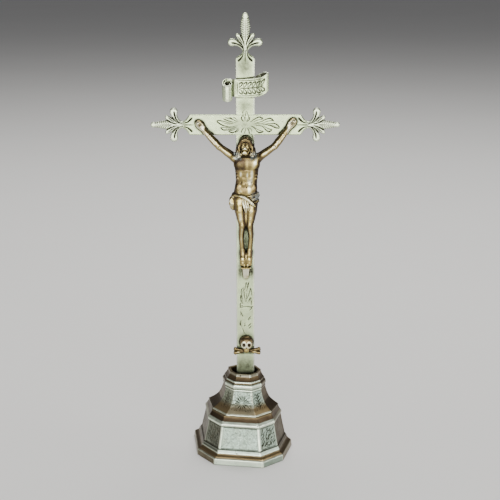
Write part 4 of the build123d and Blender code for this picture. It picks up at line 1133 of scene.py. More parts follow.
def shaft_strokes():
    s = []

    def at(cx, cy):
        # picture rows run down the shaft
        return ((cx - 334) / 19.7, np.interp(cy, [246, 500, 612, 720, 870, 1000], [134.7, 120.4, 114.1, 108.0, 99.5, 92.1]))

    def line(pts, w, heavy=0.6):
        s.append(([at(*p) for p in pts], 1.3 * w, heavy))

    line([(318, 400), (335, 340), (345, 300), (352, 275)], 0.24)
    line([(352, 420), (362, 350), (378, 300), (388, 268)], 0.24)
    line([(378, 350), (372, 310), (388, 270)], 0.2)
    line([(345, 330), (338, 300), (352, 276)], 0.2)
    line([(362, 345), (366, 310), (372, 290)], 0.14)
    line([(300, 560), (285, 480), (272, 420), (282, 372), (318, 352)], 0.24)
    line([(302, 470), (298, 410), (318, 354)], 0.2)
    line([(335, 560), (322, 470), (318, 400)], 0.2)
    line([(345, 560), (352, 480), (352, 420)], 0.18)
    line([(352, 520), (385, 440), (408, 350)], 0.24)
    line([(395, 430), (402, 390), (410, 352)], 0.26, 0.7)
    line([(412, 352), (420, 400), (428, 470)], 0.24)
    line([(310, 600), (270, 520), (262, 470), (282, 450)], 0.26)
    line([(290, 590), (268, 545), (272, 490), (284, 452)], 0.22)
    line([(365, 570), (395, 510), (420, 480)], 0.3, 0.6)
    line([(372, 590), (405, 530), (424, 490)], 0.18)
    line([(255, 640), (258, 590), (262, 560)], 0.28)
    line([(262, 630), (282, 600), (300, 620)], 0.22)
    line([(420, 600), (418, 560), (428, 520)], 0.24)
    line([(246, 634), (330, 616), (420, 622), (446, 606)], 0.26, 0.55)
    line([(350, 612), (420, 618), (440, 610)], 0.2, 0.5)
    line([(392, 672), (410, 650), (428, 622)], 0.26)
    line([(300, 755), (280, 720), (262, 690)], 0.3, 0.5)
    line([(262, 740), (268, 700), (258, 680)], 0.24)
    line([(365, 800), (392, 770), (418, 738)], 0.3, 0.4)
    line([(372, 815), (398, 790), (420, 770)], 0.16)
    line([(258, 880), (256, 850), (272, 800)], 0.32, 0.5)
    line([(282, 905), (266, 870), (262, 830)], 0.24)
    line([(320, 990), (300, 940), (272, 890)], 0.2, 0.4)
    line([(368, 890), (395, 865), (418, 840)], 0.3, 0.5)
    line([(380, 920), (402, 900), (420, 875)], 0.28, 0.5)
    line([(388, 880), (405, 860), (418, 850)], 0.2)
    line([(320, 885), (326, 875), (330, 866)], 0.34, 0.5)
    line([(318, 860), (325, 850), (330, 842)], 0.2)
    return s


corpus_halo = halo_of(corpus_volume, -4.6, -1.3)
CROSSING, SHAFT = crossing_strokes(), shaft_strokes()


def end_groove(which, x, z):
    to_local, reach = ENDS[which][:2]
    u, v = to_local(x, z)
    return cuts(np.asarray(u, float) + 0 * v, np.asarray(v, float) + 0 * u, end_strokes(reach))


def patch(cx, cz, rx, rz):
    """A soft round spot, for tarnish and for painted shade."""
    return lambda x, z: np.exp(-(((x - cx) / rx) ** 2 + ((z - cz) / rz) ** 2))


def make_crossbar():
    def outline(x, z):
        bar = np.maximum(np.abs(x) - CROSSBAR_X, np.abs(z - CROSS_Z) - CROSSBAR_H / 2)
        dl = end_maps("left", x, z)[2]
        dr = end_maps("right", x, z)[2]
        return np.minimum(bar, np.minimum(dl, dr))

    def maps(x, z):
        g, dirt = cuts(x, z, CROSSING)
        for side in ("left", "right"):
            a, b = end_groove(side, x, z)
            g, dirt = np.maximum(g, a), np.maximum(dirt, b)
        return g, dirt

    def front(x, z):
        d = outline(x, z)
        flat = 1.3 - np.clip(0.45 + d, 0, 2) * 0.3 * (np.abs(x) > BAR_W / 2)
        h = flat
        for side in ("left", "right"):
            u, v, _, eh = end_maps(side, x, z)
            w = np.clip((u + 5.2) / 1.6, 0, 1)
            h = h * (1 - w) + eh * w
        return h - maps(x, z)[0]

    def grime(x, z):
        g, dirt = maps(x, z)
        # painted shadow round the figure: dark close to it, fainter further out; painted shade in the creases near the
        # ends; dirt in the cuts and two soft tarnish patches
        halo = np.clip(1.75 - 1.45 * np.maximum(corpus_halo(x, z), 0), 0, 1)
        soft = 0.30 * np.clip(1.6 - 0.8 * corpus_halo(x, z), 0, 1)
        hollow = front_hollow(front, x, z)
        near_end = np.clip((np.abs(x) - 43.5) / 2, 0, 1)
        out = np.maximum(np.maximum(dirt, halo), np.maximum(soft, hollow * near_end))
        out = np.maximum(out, 0.26 * patch(4.0, 249.4, 9.0, 5.0)(x, z) + 0.24 * patch(-6.0, 249.0, 7.0, 4.5)(x, z))
        return np.clip(out, 0, 1)

    def edge(x, z):
        # bright edges: painted highlight along the outline and on the raised relief of the ends
        d = outline(x, z)
        rim = np.clip(1.0 + d / 0.55, 0, 1) * (np.abs(x) > BAR_W / 2)
        ends = np.clip((np.abs(x) - 43.0) / 2, 0, 1)
        return np.clip(0.12 * rim + ends * (0.5 * np.clip((front(x, z) - 0.7) / 0.4, 0, 1) + 0.5 * np.clip(1.0 + d / 0.7, 0, 1)), 0, 1)

    xs = np.round(np.arange(-337, 338) * 0.2, 4)
    zs = CROSS_Z + np.round(np.arange(-64, 65) * 0.2, 4)
    return plate("crossbar_plate", xs, zs, outline, front, BACK, PALE, "cross",
                 {"grime": (grime, 0.28), "edge": (edge, 0.0)}, ("crossbar",), lap=(BAR_W / 2, 0.0))


def front_hollow(front, x, z):
    """Darker where the relief has a crease: painted shade."""
    e = 0.45
    around = 0.25 * (front(x + e, z) + front(x - e, z) + front(x, z + e) + front(x, z - e))
    return np.clip((around - front(x, z)) / 0.12, 0, 1)


def make_upright():
    half = BAR_W / 2

    def outline(x, z):
        bar = np.maximum(np.abs(x) - half, np.maximum(SOCKET_TOP - z, z - 296.3))
        tang = np.maximum(np.abs(x) - TANG_W / 2, np.maximum(TANG_BOTTOM - z, z - SOCKET_TOP - 2))
        top = end_maps("top", x, z)[2]
        return np.minimum(np.minimum(bar, tang), top)

    def maps(x, z):
        g, dirt = cuts(x, z, SHAFT + CROSSING)
        a, b = end_groove("top", x, z)
        return np.maximum(g, a), np.maximum(dirt, b)

    def front(x, z):
        side = np.abs(x) - half
        h = 1.3 - np.clip(1.15 + side, 0, 2) * 0.24 * np.clip((z - SOCKET_TOP) / 0.4, 0, 1)
        u, v, _, eh = end_maps("top", x, z)
        w = np.clip((u + 5.2) / 1.6, 0, 1)
        h = h * (1 - w) + eh * w
        h = h - maps(x, z)[0]
        lap = np.clip((CROSSBAR_H / 2 - np.abs(z - CROSS_Z)) / 0.2, 0, 1)
        return h * (1 - lap) - 0.01 * lap

    def grime(x, z):
        g, dirt = maps(x, z)
        # painted shadow round the figure, dirt in the cuts
        c = corpus_halo(x, z)
        halo = np.clip(1.75 - 1.45 * np.maximum(c, 0), 0, 1)
        soft = 0.34 * np.clip(1.9 - 0.8 * c, 0, 1)
        out = np.maximum(np.maximum(dirt, halo), soft)
        between = 1 - 0.5 * patch(0.4, 164.0, 2.0, 9.0)(x, z)
        out = out * between
        # painted shadow under the feet and round the skull and bones
        foot = tube2(x, z, [(0.4, 145.5), (0.4, 138.6)], [3.6, 2.1])
        out = np.maximum(out, np.clip(1.25 - 1.0 * np.maximum(foot, 0), 0, 1))
        out = np.maximum(out, 0.5 * np.clip(1.6 - 0.6 * np.maximum(foot, 0), 0, 1))
        head = np.hypot(x - 0.6, z - 86.4) - 5.0
        out = np.maximum(out, np.clip(1.2 - 0.8 * np.maximum(head, 0), 0, 1))
        out = np.maximum(out, 0.42 * np.clip(1.7 - 0.45 * np.maximum(head, 0), 0, 1))
        bones = tube2(x, z, [(-9.0, 80.0), (9.5, 80.0)], [2.7, 2.7])
        out = np.maximum(out, 0.75 * np.clip(1.2 - 0.9 * np.maximum(bones, 0), 0, 1))
        # shadowed lines along the label and where the shaft enters the base
        top_edge = np.interp(x, [-9, -2, 5, 9], [282.1, 282.4, 283.2, 284.6])
        out = np.maximum(out, np.clip(1.3 - np.abs(z - top_edge) / 0.75, 0, 1) * (np.abs(x) < 9))
        out = np.maximum(out, 0.6 * np.clip(1.3 - np.abs(z - 269.0) / 0.6, 0, 1))
        out = np.maximum(out, np.clip((60.6 - z) / 3.0, 0, 1))
        # darker spots: painted shade between the legs, under the bracket and beside the head; the others darken the
        # shaft near the base and round the label
        for spot, a in ((patch(0.0, 66.0, 12.0, 9.5), 0.72), (patch(-1.2, 61.0, 3.2, 2.0), 0.4), (patch(0.5, 63.5, 4.0, 1.2), 0.25), (patch(1.8, 70.8, 3.5, 2.2), 0.22),
                        (patch(-3.9, 141.5, 1.8, 5.2), 0.93), (patch(4.6, 141.5, 1.7, 5.2), 0.94), (patch(0.0, 291.0, 5.4, 8.0), 0.58), (patch(0.0, 263.2, 5.4, 5.0), 0.46), (patch(4.6, 239.0, 2.2, 4.0), 0.5),
                        (patch(-4.4, 238.0, 1.6, 3.0), 0.3), (patch(0.4, 175.0, 3.4, 7.0), 0.95), (patch(0.4, 163.0, 2.6, 6.5), 0.72), (patch(-3.0, 262.0, 2.6, 2.0), 0.16)):
            out = np.maximum(out, a * spot(x, z))
        # painted shade in the creases of the top end
        near_end = np.clip((z - 299.5) / 2, 0, 1)
        out = np.maximum(out, front_hollow(front, x, z) * near_end)
        return np.clip(out, 0, 1)

    def edge(x, z):
        # bright edges: painted highlight along both sides, stronger on the right, and on the raised relief of the top
        # end
        side = np.abs(x) - half
        rim = np.clip(1.25 + side / 1.1, 0, 1) * np.clip((z - 58) / 2, 0, 1) * np.clip((299 - z) / 3, 0, 1)
        ends = np.clip((z - 299.0) / 2, 0, 1)
        return np.clip((0.75 + 0.2 * np.sign(x)) * rim + ends * (0.35 * np.clip((front(x, z) - 0.7) / 0.4, 0, 1) + 0.45 * np.clip(1.0 + outline(x, z) / 0.7, 0, 1)), 0, 1)

    xs = np.round(np.arange(-63, 64) * 0.2, 4)
    rows = [np.arange(46.3, 91.6, 0.4), np.arange(92, 136.5, 0.22), np.arange(136.8, 237.4, 0.36), np.arange(237.6, 242.4, 0.22),
            [242.5, 242.7], np.arange(243.2, 256.2, 0.6), [256.5, 256.7], np.arange(256.9, 262.0, 0.22), np.arange(262.3, 291.0, 0.36),
            np.arange(291.3, 327.9, 0.2)]
    return plate("upright_plate", xs, np.concatenate(rows), outline, front, BACK, PALE, "cross",
                 {"grime": (grime, 0.4), "edge": (edge, 0.1)}, ("upright",))


make_crossbar()
make_upright()


# ------------------------------------------------------------------ label: a ribbon rolled up at one end
def make_titulus():
    centre, turns = np.array((-12.35, -5.35)), 1.75
    phi = np.radians(np.linspace(90 + 360 * turns, 90, 120))
    radius = 3.7 - 1.2 * (phi - math.radians(90)) / (2 * math.pi)
    roll = np.stack([centre[0] + radius * np.cos(phi), centre[1] + radius * np.sin(phi)], 1)
    run = curve([(-12.35, -1.65), (-9.5, -1.7), (-7.0, -1.97), (0.0, -1.98), (4.0, -2.08), (8.0, -3.0), (11.5, -4.3), (14.2, -4.9),
                 (15.7, -4.3), (15.8, -3.1), (14.6, -2.2), (12.0, -1.85), (9.0, -1.7), (7.1, -1.68)], 22)[1:]
    plan_pts = np.concatenate([roll, run])
    mark = np.concatenate([np.full(len(roll), -12.35), np.where(np.arange(len(run)) < 22 * 8, run[:, 0], 31.5 - run[:, 0])])
    top = np.interp(mark, [-12.35, -9.5, -7, 0, 4, 7, 10.2, 12.9, 15.1, 15.8, 16.9, 18.6, 21.3, 23.5, 24.6],
                    [282.35, 282.1, 282.1, 282.4, 282.7, 283.0, 283.5, 284.8, 286.3, 286.9, 287.15, 286.9, 285.7, 284.7, 283.8])
    low = np.interp(mark, [-12.35, -9.8, -7.6, 0, 5, 9, 11.5, 14.3, 15.4, 16.0, 18, 21, 24.6],
                    [270.1, 269.9, 269.6, 268.9, 269.3, 269.9, 270.7, 272.4, 273.6, 274.6, 276.5, 278.0, 279.0])
    # the roll leans forward, so both its ends are lower in front
    lean = roll[:, 1] - centre[1]
    top[:len(roll)] = 279.9 + 0.70 * lean - np.linspace(0.5, 0.0, len(roll))
    low[:len(roll)] = 268.4 + 0.48 * lean
    thick_at = np.interp(mark, [-12.35, -9.5, -7.0, 5.0, 9.0, 16.0], [0.66, 0.7, 1.25, 1.25, 0.8, 0.66])
    tan = np.gradient(plan_pts, axis=0)
    tan /= np.linalg.norm(tan, axis=1, keepdims=True)
    normal = np.stack([tan[:, 1], -tan[:, 0]], 1)

    strokes = [([(-6.4, 5.35), (3, 5.35), (14.6, 5.35)], 0.24, 0.5), ([(-6.4, -5.35), (3, -5.35), (14.6, -5.35)], 0.24, 0.5),
               ([(-5.5, -5.3), (-5.5, 0), (-5.5, 5.3)], 0.26, 0.5), ([(-6.6, -5.6), (-6.6, 0), (-6.6, 5.6)], 0.2, 0.5)]
    # straight laurel branch
    strokes.append(([(-4.6, 0.0), (4.0, 0.0), (13.8, 0.0)], 0.34, 0.5))
    for x in np.arange(-4.4, 11.8, 3.1):
        for side in (-1, 1):
            strokes += leaf_strokes((x, side * 0.2), (x + 2.7, side * 4.3), bend=side * 0.4, width=0.95, weight=0.42, rib=False)

    verts, grime, edge = [], [], []
    m = 52
    for i in range(len(plan_pts)):
        h, thick = top[i] - low[i], thick_at[i]
        w = np.concatenate([[0.0, 0.12, 0.32], np.linspace(0.6, h - 0.6, m - 6), [h - 0.32, h - 0.12, h]])
        f = np.interp(w, [0, 0.12, 0.32, h - 0.32, h - 0.12, h], [0.12, 0.40, 0.5, 0.5, 0.40, 0.12]) * thick
        zrel = w - h / 2
        s = np.full(m, mark[i])
        d, dirt = (cuts(s, zrel, strokes) if -7.5 < mark[i] < 15.2 else (np.zeros(m), np.zeros(m)))
        wb = np.array([h, h - 0.12, h - 0.32, 0.75 * h, 0.5 * h, 0.25 * h, 0.32, 0.12, 0.0])
        fb = np.array([0.12, 0.40, 0.5, 0.5, 0.5, 0.5, 0.5, 0.40, 0.12]) * thick
        fr = plan_pts[i]
        front = np.stack([fr[0] + normal[i, 0] * (f - d), fr[1] + normal[i, 1] * (f - d), low[i] + w], 1)
        behind = np.stack([fr[0] - normal[i, 0] * fb, fr[1] - normal[i, 1] * fb, low[i] + wb], 1)
        verts.append(np.concatenate([front, behind]))
        rolled = i < len(roll)
        # painted shade: the roll's front face and inner turns, the banner beside the roll and the back of the curl;
        # dirt in the cuts
        inside = np.clip((len(roll) * 0.52 - i) / 12, 0, 1) if rolled else 0.0
        curl = np.clip((mark[i] - 15.8) / 1.2, 0, 1)
        shade_front = np.full(m, 0.9 if rolled else 0.0) * np.clip((h - w - 0.15) / 0.5, 0, 1)
        near_roll = 0.75 * np.clip((mark[i] + 9.9) / 1.0, 0, 1) * np.clip((-6.9 - mark[i]) / 1.0, 0, 1)
        grime.append(np.concatenate([np.clip(np.maximum(dirt, shade_front + near_roll), 0, 1), np.concatenate([[0.0, 0.1], np.full(5, 0.06 + 0.35 * inside + 0.8 * curl), [0.1, 0.0]])]))
        # bright top and bottom edges: painted highlight
        e = np.clip(1.1 - np.minimum(w, h - w) / 0.5, 0, 1) * (0.35 if rolled else 0.8)
        edge.append(np.concatenate([e, np.array([1, 1, 0.6, 0.35, 0.3, 0.35, 0.6, 1, 1]) * 0.8]))
    k = m + 9
    n = len(plan_pts)
    verts = np.concatenate(verts)
    i, j = np.meshgrid(np.arange(n - 1), np.arange(k), indexing="ij")
    a, b = i * k + j, i * k + (j + 1) % k
    quads = np.stack([a, a + k, b + k, b], -1).reshape(-1, 4)
    caps = [verts[:k].mean(axis=0), verts[-k:].mean(axis=0)]
    verts = np.concatenate([verts, caps])
    ring = np.arange(k)
    nxt = (ring + 1) % k
    tris = np.concatenate([np.stack([np.full(k, n * k), ring, nxt], 1),
                           np.stack([np.full(k, n * k + 1), (n - 1) * k + nxt, (n - 1) * k + ring], 1)])
    mesh_object("titulus_ribbon", verts, [quads, tris], PALE, "cross",
                {"grime": np.concatenate(grime + [[0.6, 0.6]]), "edge": np.concatenate(edge + [[0.4, 0.4]])}, ("titulus",))


# ------------------------------------------------------------------ small castings
def bronze_piece(name, volume, replaces, rub=1.0, bloom=0.0, dark=1.0, tone=None):
    v, q = skin(volume)
    v = relax(v, q, 1, 0.35)
    h1, h2, n = hollowness(v, q, 8, 0.16), hollowness(v, q, 30, 0.6), normals_of(v, q)
    # brightening on ridges that face the front is painted highlight; shade is painted shade where the surface turns
    # away
    front = np.clip(0.25 - n[:, 1], 0, 1)
    attrs = {"rub": np.clip((-0.8 * h1 - 0.6 * h2 + 0.25) * rub, 0, 1) * front, "hollow": np.clip((1.2 * h1 + 0.8 * h2 - 0.1) * dark, 0, 1),
             "bloom": np.full(len(v), bloom),
             "shade": soft_step(0.94 * n[:, 1] + 0.2 * n[:, 0] - 0.2 * n[:, 2], -0.6, -0.05)}
    if tone:
        tone(v, n, attrs)
    return mesh_object(name, v, q, BRONZE, "cross", attrs, replaces)


def make_suppedaneum():
    v = Volume((-4.6, -10.4, 134.4), (5.2, -0.8, 147.6), 0.15)
    def board(x, y, z):
        q = smax(np.abs(x - 0.3) - 3.55, smax(np.abs(z - 145.9) - 0.45, np.abs(y + 5.2) - 3.9, 0.25), 0.35)
        return q

    def bracket(x, y, z):
        w = np.interp(z, [135.0, 135.9, 137.0, 139.0, 143.0, 145.6], [0.6, 1.5, 2.0, 2.25, 2.6, 2.75])
        d = np.interp(z, [135.0, 137.0, 139.0, 143.0, 145.6], [0.9, 2.4, 3.5, 4.9, 5.9])
        side = np.abs(x - 0.35) - w + 0.10 * np.clip(-(y + 1.3) / d, 0, 1) ** 2 * 3
        return smax(smax(side, (-y - 1.3) - d, 0.9), smax(135.2 - z, z - 145.8, 0.5), 0.6)

    v.add((bracket, np.array((-3, -8, 135)), np.array((3.6, -1, 146))), 0.2)
    v.add((board, np.array((-3.6, -9.3, 145.2)), np.array((4.3, -1.2, 146.7))), 0.15)
    v.cut(cone((0.35, -7.1, 144.0), 0.22, (0.35, -4.0, 137.2), 0.2), 0.35)
    v.f = np.maximum(v.f, np.broadcast_to(v.ax[1][None, :, None], v.f.shape) - (FRONT - 0.02))

    def tone(p, n, attrs):
        # bracket front brightened: painted highlight; its sides and the board's front and underside darkened: painted
        # shade
        bracket_front = np.clip((145.0 - p[:, 2]) / 0.6, 0, 1)
        attrs["rub"] = np.clip(attrs["rub"] + 0.85 * bracket_front * np.clip(-n[:, 1] * 1.6, 0, 1), 0, 1)
        attrs["hollow"] = np.clip(attrs["hollow"] + 0.8 * bracket_front * np.clip(0.35 + n[:, 1], 0, 1)
                                  + 0.75 * np.clip((0.2 - n[:, 2]), 0, 1) * (p[:, 2] > 145.2), 0, 1)

    bronze_piece("suppedaneum_bracket", v, ("suppedaneum",), tone=tone)


def make_skull():
    v = Volume((-11.4, -8.8, 74.6), (12.9, -0.8, 93.4), 0.16)
    c = 0.75
    v.add(oval((c, -3.4, 87.1), (5.0, 3.7, 4.95)), 0.3)
    v.add(oval((c, -4.6, 84.7), (3.9, 2.5, 3.6)), 0.8)
    v.add(oval((c, -5.0, 81.2), (1.95, 1.7, 2.2)), 0.6)
    for s in (-1, 1):
        # rim of the eye socket, the socket itself, temple
        v.add(oval((c + s * 2.05, -6.0, 85.6), (2.0, 1.1, 2.6), (0, s * 8, 0)), 0.3)
        v.cut(oval((c + s * 2.0, -7.3, 85.8), (1.25, 1.45, 1.55), (0, s * 10, 0)), 0.2)
        v.cut(oval((c + s * 4.9, -5.0, 85.2), (0.8, 1.2, 1.7)), 0.6)
        v.cut(oval((c + s * 2.9, -6.6, 81.4), (0.9, 1.4, 1.1)), 0.5)
    # crossed bones, behind the jaw
    for z0, z1 in ((78.4, 81.4), (81.2, 78.3)):
        a, b = np.array((-7.5, -2.55, z0)), np.array((9.9, -2.55, z1))
        d = (b - a) / np.linalg.norm(b - a)
        n = np.array((-d[2], 0, d[0]))
        off = np.array((0, -0.45 if z0 < 80 else 0.0, 0))
        v.add(path([a + off, 0.25 * (3 * a + b) + off, 0.5 * (a + b) + off, 0.25 * (a + 3 * b) + off, b + off], [1.3, 1.08, 0.75, 1.08, 1.3]), 0.2)
        for e, sgn in ((a, -1), (b, 1)):
            for t in (-0.52, 0.52):
                v.add(oval(e + off + t * n + 0.25 * sgn * d, (1.15, 1.2, 1.0)), 0.25)
    v.cut(path([(c, -7.4, 84.4), (c - 0.35, -7.3, 82.9)], [0.14, 0.3]), 0.15)
    v.cut(path([(c, -7.4, 84.4), (c + 0.35, -7.3, 82.9)], [0.14, 0.3]), 0.15)
    for t in (-1.1, -0.55, 0.0, 0.55, 1.1):
        v.cut(cone((c + t, -6.9, 81.5), 0.1, (c + t, -6.6, 80.2), 0.12), 0.12)
    v.cut(cone((c - 1.5, -6.9, 80.9), 0.1, (c + 1.5, -6.9, 80.9), 0.1), 0.12)
    v.f = np.maximum(v.f, np.broadcast_to(v.ax[1][None, :, None], v.f.shape) - (FRONT - 0.02))

    def tone(p, n, attrs):
        x, z = p[:, 0] - c, p[:, 2]
        ring = np.minimum(np.hypot((x - 2.05) / 2.2, (z - 85.5) / 2.9), np.hypot((x + 2.05) / 2.2, (z - 85.5) / 2.9))
        eye = np.minimum(np.hypot((x - 2.0) / 1.3, (z - 85.8) / 1.6), np.hypot((x + 2.0) / 1.3, (z - 85.8) / 1.6))
        head = (np.abs(x) < 5.3) & ((p[:, 1] < -4.0) | (z > 83.5)) & (z > 78.8)
        # eye rims, jaw and the upward faces of the lower bones brightened: painted highlight; eye sockets, the bones by
        # the jaw, the upper bones and the face outside the rims darkened: painted shade
        front = np.clip(-n[:, 1] * 1.8 - 0.1, 0, 1)
        rim = soft_step(-ring, -1.12, -0.92)
        jaw = soft_step(-np.abs(x), -2.1, -1.5) * soft_step(-z, -83.4, -82.4)
        low_limb = soft_step(-z, -80.0, -79.4)
        attrs["rub"] = np.where(head, np.clip(0.15 * attrs["rub"] + front * (rim + 0.5 * jaw), 0, 1), np.clip(0.35 * attrs["rub"] + 0.72 * low_limb * soft_step(n[:, 2], 0.05, 0.5) * soft_step(-n[:, 1], 0.2, 0.6) * soft_step(-np.abs(x), -8.4, -6.4), 0, 1) * soft_step(np.abs(x), 2.2, 4.2))
        attrs["hollow"] = np.clip(attrs["hollow"] + 1.5 * soft_step(-eye, -1.1, -0.75) * (p[:, 1] < -4.0), 0, 1)
        attrs["hollow"] = np.clip(attrs["hollow"] + 0.7 * ~head * soft_step(-np.abs(x), -4.0, -2.0), 0, 1)
        attrs["shade"] = np.clip(attrs["shade"] + 0.35 * ~head * (1 - low_limb) + 0.75 * head * (1 - rim) * (1 - jaw) * soft_step(-z, -88.5, -86.5), 0, 1)

    bronze_piece("skull_casting", v, ("skull_and_bones",), tone=tone)


make_titulus()
make_suppedaneum()
make_skull()


# ------------------------------------------------------------------ base: two cast tiers on an eight sided plan
LOWER_PLAN = np.array([(-0.555, -1.0), (0.555, -1.0), (0.945, -0.55), (1.036, 0.30), (0.55, 0.983), (-0.66, 0.983), (-1.304, 0.46), (-1.03, -0.54)])
UPPER_PLAN = np.array([(-0.50, -1.0), (0.50, -1.0), (0.96, -0.50), (1.097, 0.23), (0.56, 0.96), (-0.66, 0.96), (-1.35, 0.365), (-1.05, -0.50)])
LOWER_RINGS = [(0, 33.2), (4.3, 32.8), (4.9, 32.2), (5.6, 31.1), (6.6, 30.2), (7.5, 29.7), (7.7, 29.85), (10.2, 28.75), (10.5, 28.2),
               (16.0, 27.15), (22.0, 26.0), (27.2, 25.1), (27.5, 25.45), (28.4, 25.75), (29.3, 25.6), (30.3, 25.0), (31.3, 24.4),
               (33.3, 23.4), (35.0, 22.7)]
UPPER_RINGS = [(35.0, 22.3), (35.8, 22.2), (36.2, 21.6), (38.0, 19.5), (40.0, 17.6), (42.0, 16.1), (45.5, 14.6), (50.8, 13.2), (51.2, 13.5),
               (52.0, 13.5), (52.4, 13.15), (53.3, 13.6), (54.7, 13.8), (55.9, 13.5), (56.7, 12.9), (57.2, 12.65), (58.2, 12.6), (58.7, 12.1),
               (60.2, 11.3), (61.7, 10.6), (62.5, 10.4), (63.8, 10.3)]
FRONT_SIDE, RIGHT_DIAGONAL, LEFT_DIAGONAL = 0, 1, 7


def perimeter(corners, counts, cut=0.022):
    """Unit outline: points, outward normals, side number, place along the side, and nearness to a corner."""
    pts, nor, side, along, corner = [], [], [], [], []
    for k in range(8):
        a, b, c = corners[k], corners[(k + 1) % 8], corners[(k + 2) % 8]
        d = (b - a) / np.linalg.norm(b - a)
        e = (c - b) / np.linalg.norm(c - b)
        n, m = np.array((d[1], -d[0])), np.array((e[1], -e[0]))
        length = np.linalg.norm(b - a)
        for t in np.linspace(cut, length - cut, counts[k]):
            pts.append(a + d * t)
            nor.append(n)
            side.append(k)
            along.append(t - length / 2)
            corner.append(min(t, length - t))
        for t in (0.25, 0.5, 0.75):
            p = (1 - t) ** 2 * (b - cut * d) + 2 * t * (1 - t) * b + t * t * (b + cut * e)
            v = (1 - t) * n + t * m
            pts.append(p)
            nor.append(v / np.linalg.norm(v))
            side.append(k if t <= 0.5 else (k + 1) % 8)
            along.append(length / 2 if t <= 0.5 else -np.linalg.norm(c - b) / 2)
            corner.append(0.0)
    turn = np.array(((math.cos(BASE_TURN), -math.sin(BASE_TURN)), (math.sin(BASE_TURN), math.cos(BASE_TURN))))
    return np.array(pts) @ turn.T, np.array(nor) @ turn.T, np.array(side), np.array(along), np.array(corner)


def foliage(width, height, seed):
    """A leafy branch filling a field, as strokes."""
    rng = np.random.RandomState(seed)
    s = []
    # one long branch up the panel, with leaves on both sides that reach its edges
    for dx, dz, size, long in ((0.0, 0.0, 1.06, 1.0), (-0.30, 0.27, 0.42, 0.55), (0.30, -0.27, 0.42, 0.55)):
        s += branch(width, height, dx * width, dz * height, size, long, rng)
    return s


def branch(width, height, cx, cz, size, long, rng):
    s = []
    stem = [(cx - 0.26 * size * width, cz - 0.44 * size * height), (cx - 0.06 * size * width, cz - 0.18 * size * height),
            (cx + 0.08 * size * width, cz + 0.12 * size * height), (cx + 0.16 * size * width, cz + 0.42 * size * height)]
    stem = [(float(np.clip(a, -0.46 * width, 0.46 * width)), float(np.clip(b, -0.47 * height, 0.47 * height))) for a, b in stem]
    line = curve(stem, 5)
    s.append((stem, 0.30, 0.4))
    for i in range(1, len(line) - 1, 2):
        d = line[i + 1] - line[i - 1]
        ang = math.atan2(d[1], d[0])
        for side in (-1, 1):
            a = ang + side * (0.75 + 0.25 * rng.rand())
            r = (0.34 + 0.12 * rng.rand()) * height * long
            tip = (line[i][0] + r * math.cos(a), line[i][1] + r * math.sin(a))
            tip = (np.clip(tip[0], -0.47 * width, 0.47 * width), np.clip(tip[1], -0.48 * height, 0.48 * height))
            s += leaf_strokes(line[i], tip, bend=side * 0.4, width=0.085 * height, weight=0.23)
    return s


def rosette(radius, count, squash=0.8, inner=0.22, weight=0.32):
    s = []
    for i in range(count):
        a = 2 * math.pi * (i + 0.25) / count
        r = radius * (1.0 if i % 2 else 0.78)
        b = (inner * radius * math.cos(a), inner * radius * math.sin(a) * squash)
        t = (r * math.cos(a), r * math.sin(a) * squash)
        s += leaf_strokes(b, t, bend=0.16 * radius * math.sin(3.0 * i), width=0.11 * radius, weight=weight, rib=(i % 2 == 0))
    return s


def rays(radius, count, weight):
    """Short leaf strokes that fan out all round from a centre."""
    s = []
    for i in range(count):
        a = 2 * math.pi * (i + 0.25) / count
        r = radius * (1.0, 0.80, 0.92, 0.72)[i % 4]
        lean = 0.07 * radius * math.sin(2.3 * i)
        d, n = np.array((math.cos(a), math.sin(a))), np.array((-math.sin(a), math.cos(a)))
        s.append(([tuple((0.12 + 0.10 * (i % 3)) * radius * d), tuple(0.62 * r * d + lean * n), tuple(r * d + 1.5 * lean * n)], weight * (1.0 if i % 2 else 0.8), 0.55))
        if i % 2:
            s.append(([tuple(0.55 * r * d + 0.02 * radius * n), tuple(0.74 * r * d + 0.09 * radius * n), tuple(0.9 * r * d + 0.04 * radius * n)], 0.7 * weight, 0.5))
    return s


def scatter(width, height, across, up, seed, size, weight, lean, keep=0.0):
    """Short curved strokes set out in rows, all leaning much the same way; none nearer to the middle than keep."""
    rng = np.random.RandomState(seed)
    s = []
    for i in range(across):
        for j in range(up):
            x = width * ((i + 0.5 + 0.5 * (rng.rand() - 0.5)) / across - 0.5)
            y = height * ((j + 0.5 + 0.5 * (rng.rand() - 0.5) + 0.25 * (i % 2)) / up - 0.5)
            if math.hypot(x, y) < keep:
                continue
            a = (math.atan2(y, x) if keep else lean) + 0.9 * (rng.rand() - 0.5)
            r = 0.5 * size * (0.75 + 0.5 * rng.rand())
            d, n = np.array((math.cos(a), math.sin(a))), np.array((-math.sin(a), math.cos(a)))
            b = 0.35 * r * (1 if rng.rand() > 0.5 else -1)
            p = np.array((x, y))
            s.append(([tuple(p - r * d), tuple(p + b * n), tuple(p + r * d)], weight * (0.8 + 0.4 * rng.rand()), 0.6))
    return s


def pits(g, places):
    """Small casting pits, as (side, along, height, radius)."""
    out = np.zeros(g["z"].shape)
    for k, s0, z0, r in places:
        d = np.hypot(g["s"] - s0, g["z"] - z0) / r
        out = np.maximum(out, np.where(g["side"] == k, np.clip(1.25 - d, 0, 1), 0))
    return out


def ring_points(rows, unit, nor, push):
    """Stack of rings: each row is (kind, z, size)."""
    ang = np.arctan2(unit[:, 1], unit[:, 0])
    out = []
    for i, (kind, z, size) in enumerate(rows):
        if kind == "plan":
            p = unit * size
        elif kind == "round":
            p = np.stack([size * np.cos(ang), size * np.sin(ang)], 1)
        else:
            a, r, t = size
            p = (1 - t) * unit * a + t * np.stack([r * np.cos(ang), r * np.sin(ang)], 1)
        out.append(np.concatenate([p + nor * push[i][:, None], np.full((len(p), 1), z)], 1))
    return np.concatenate(out)


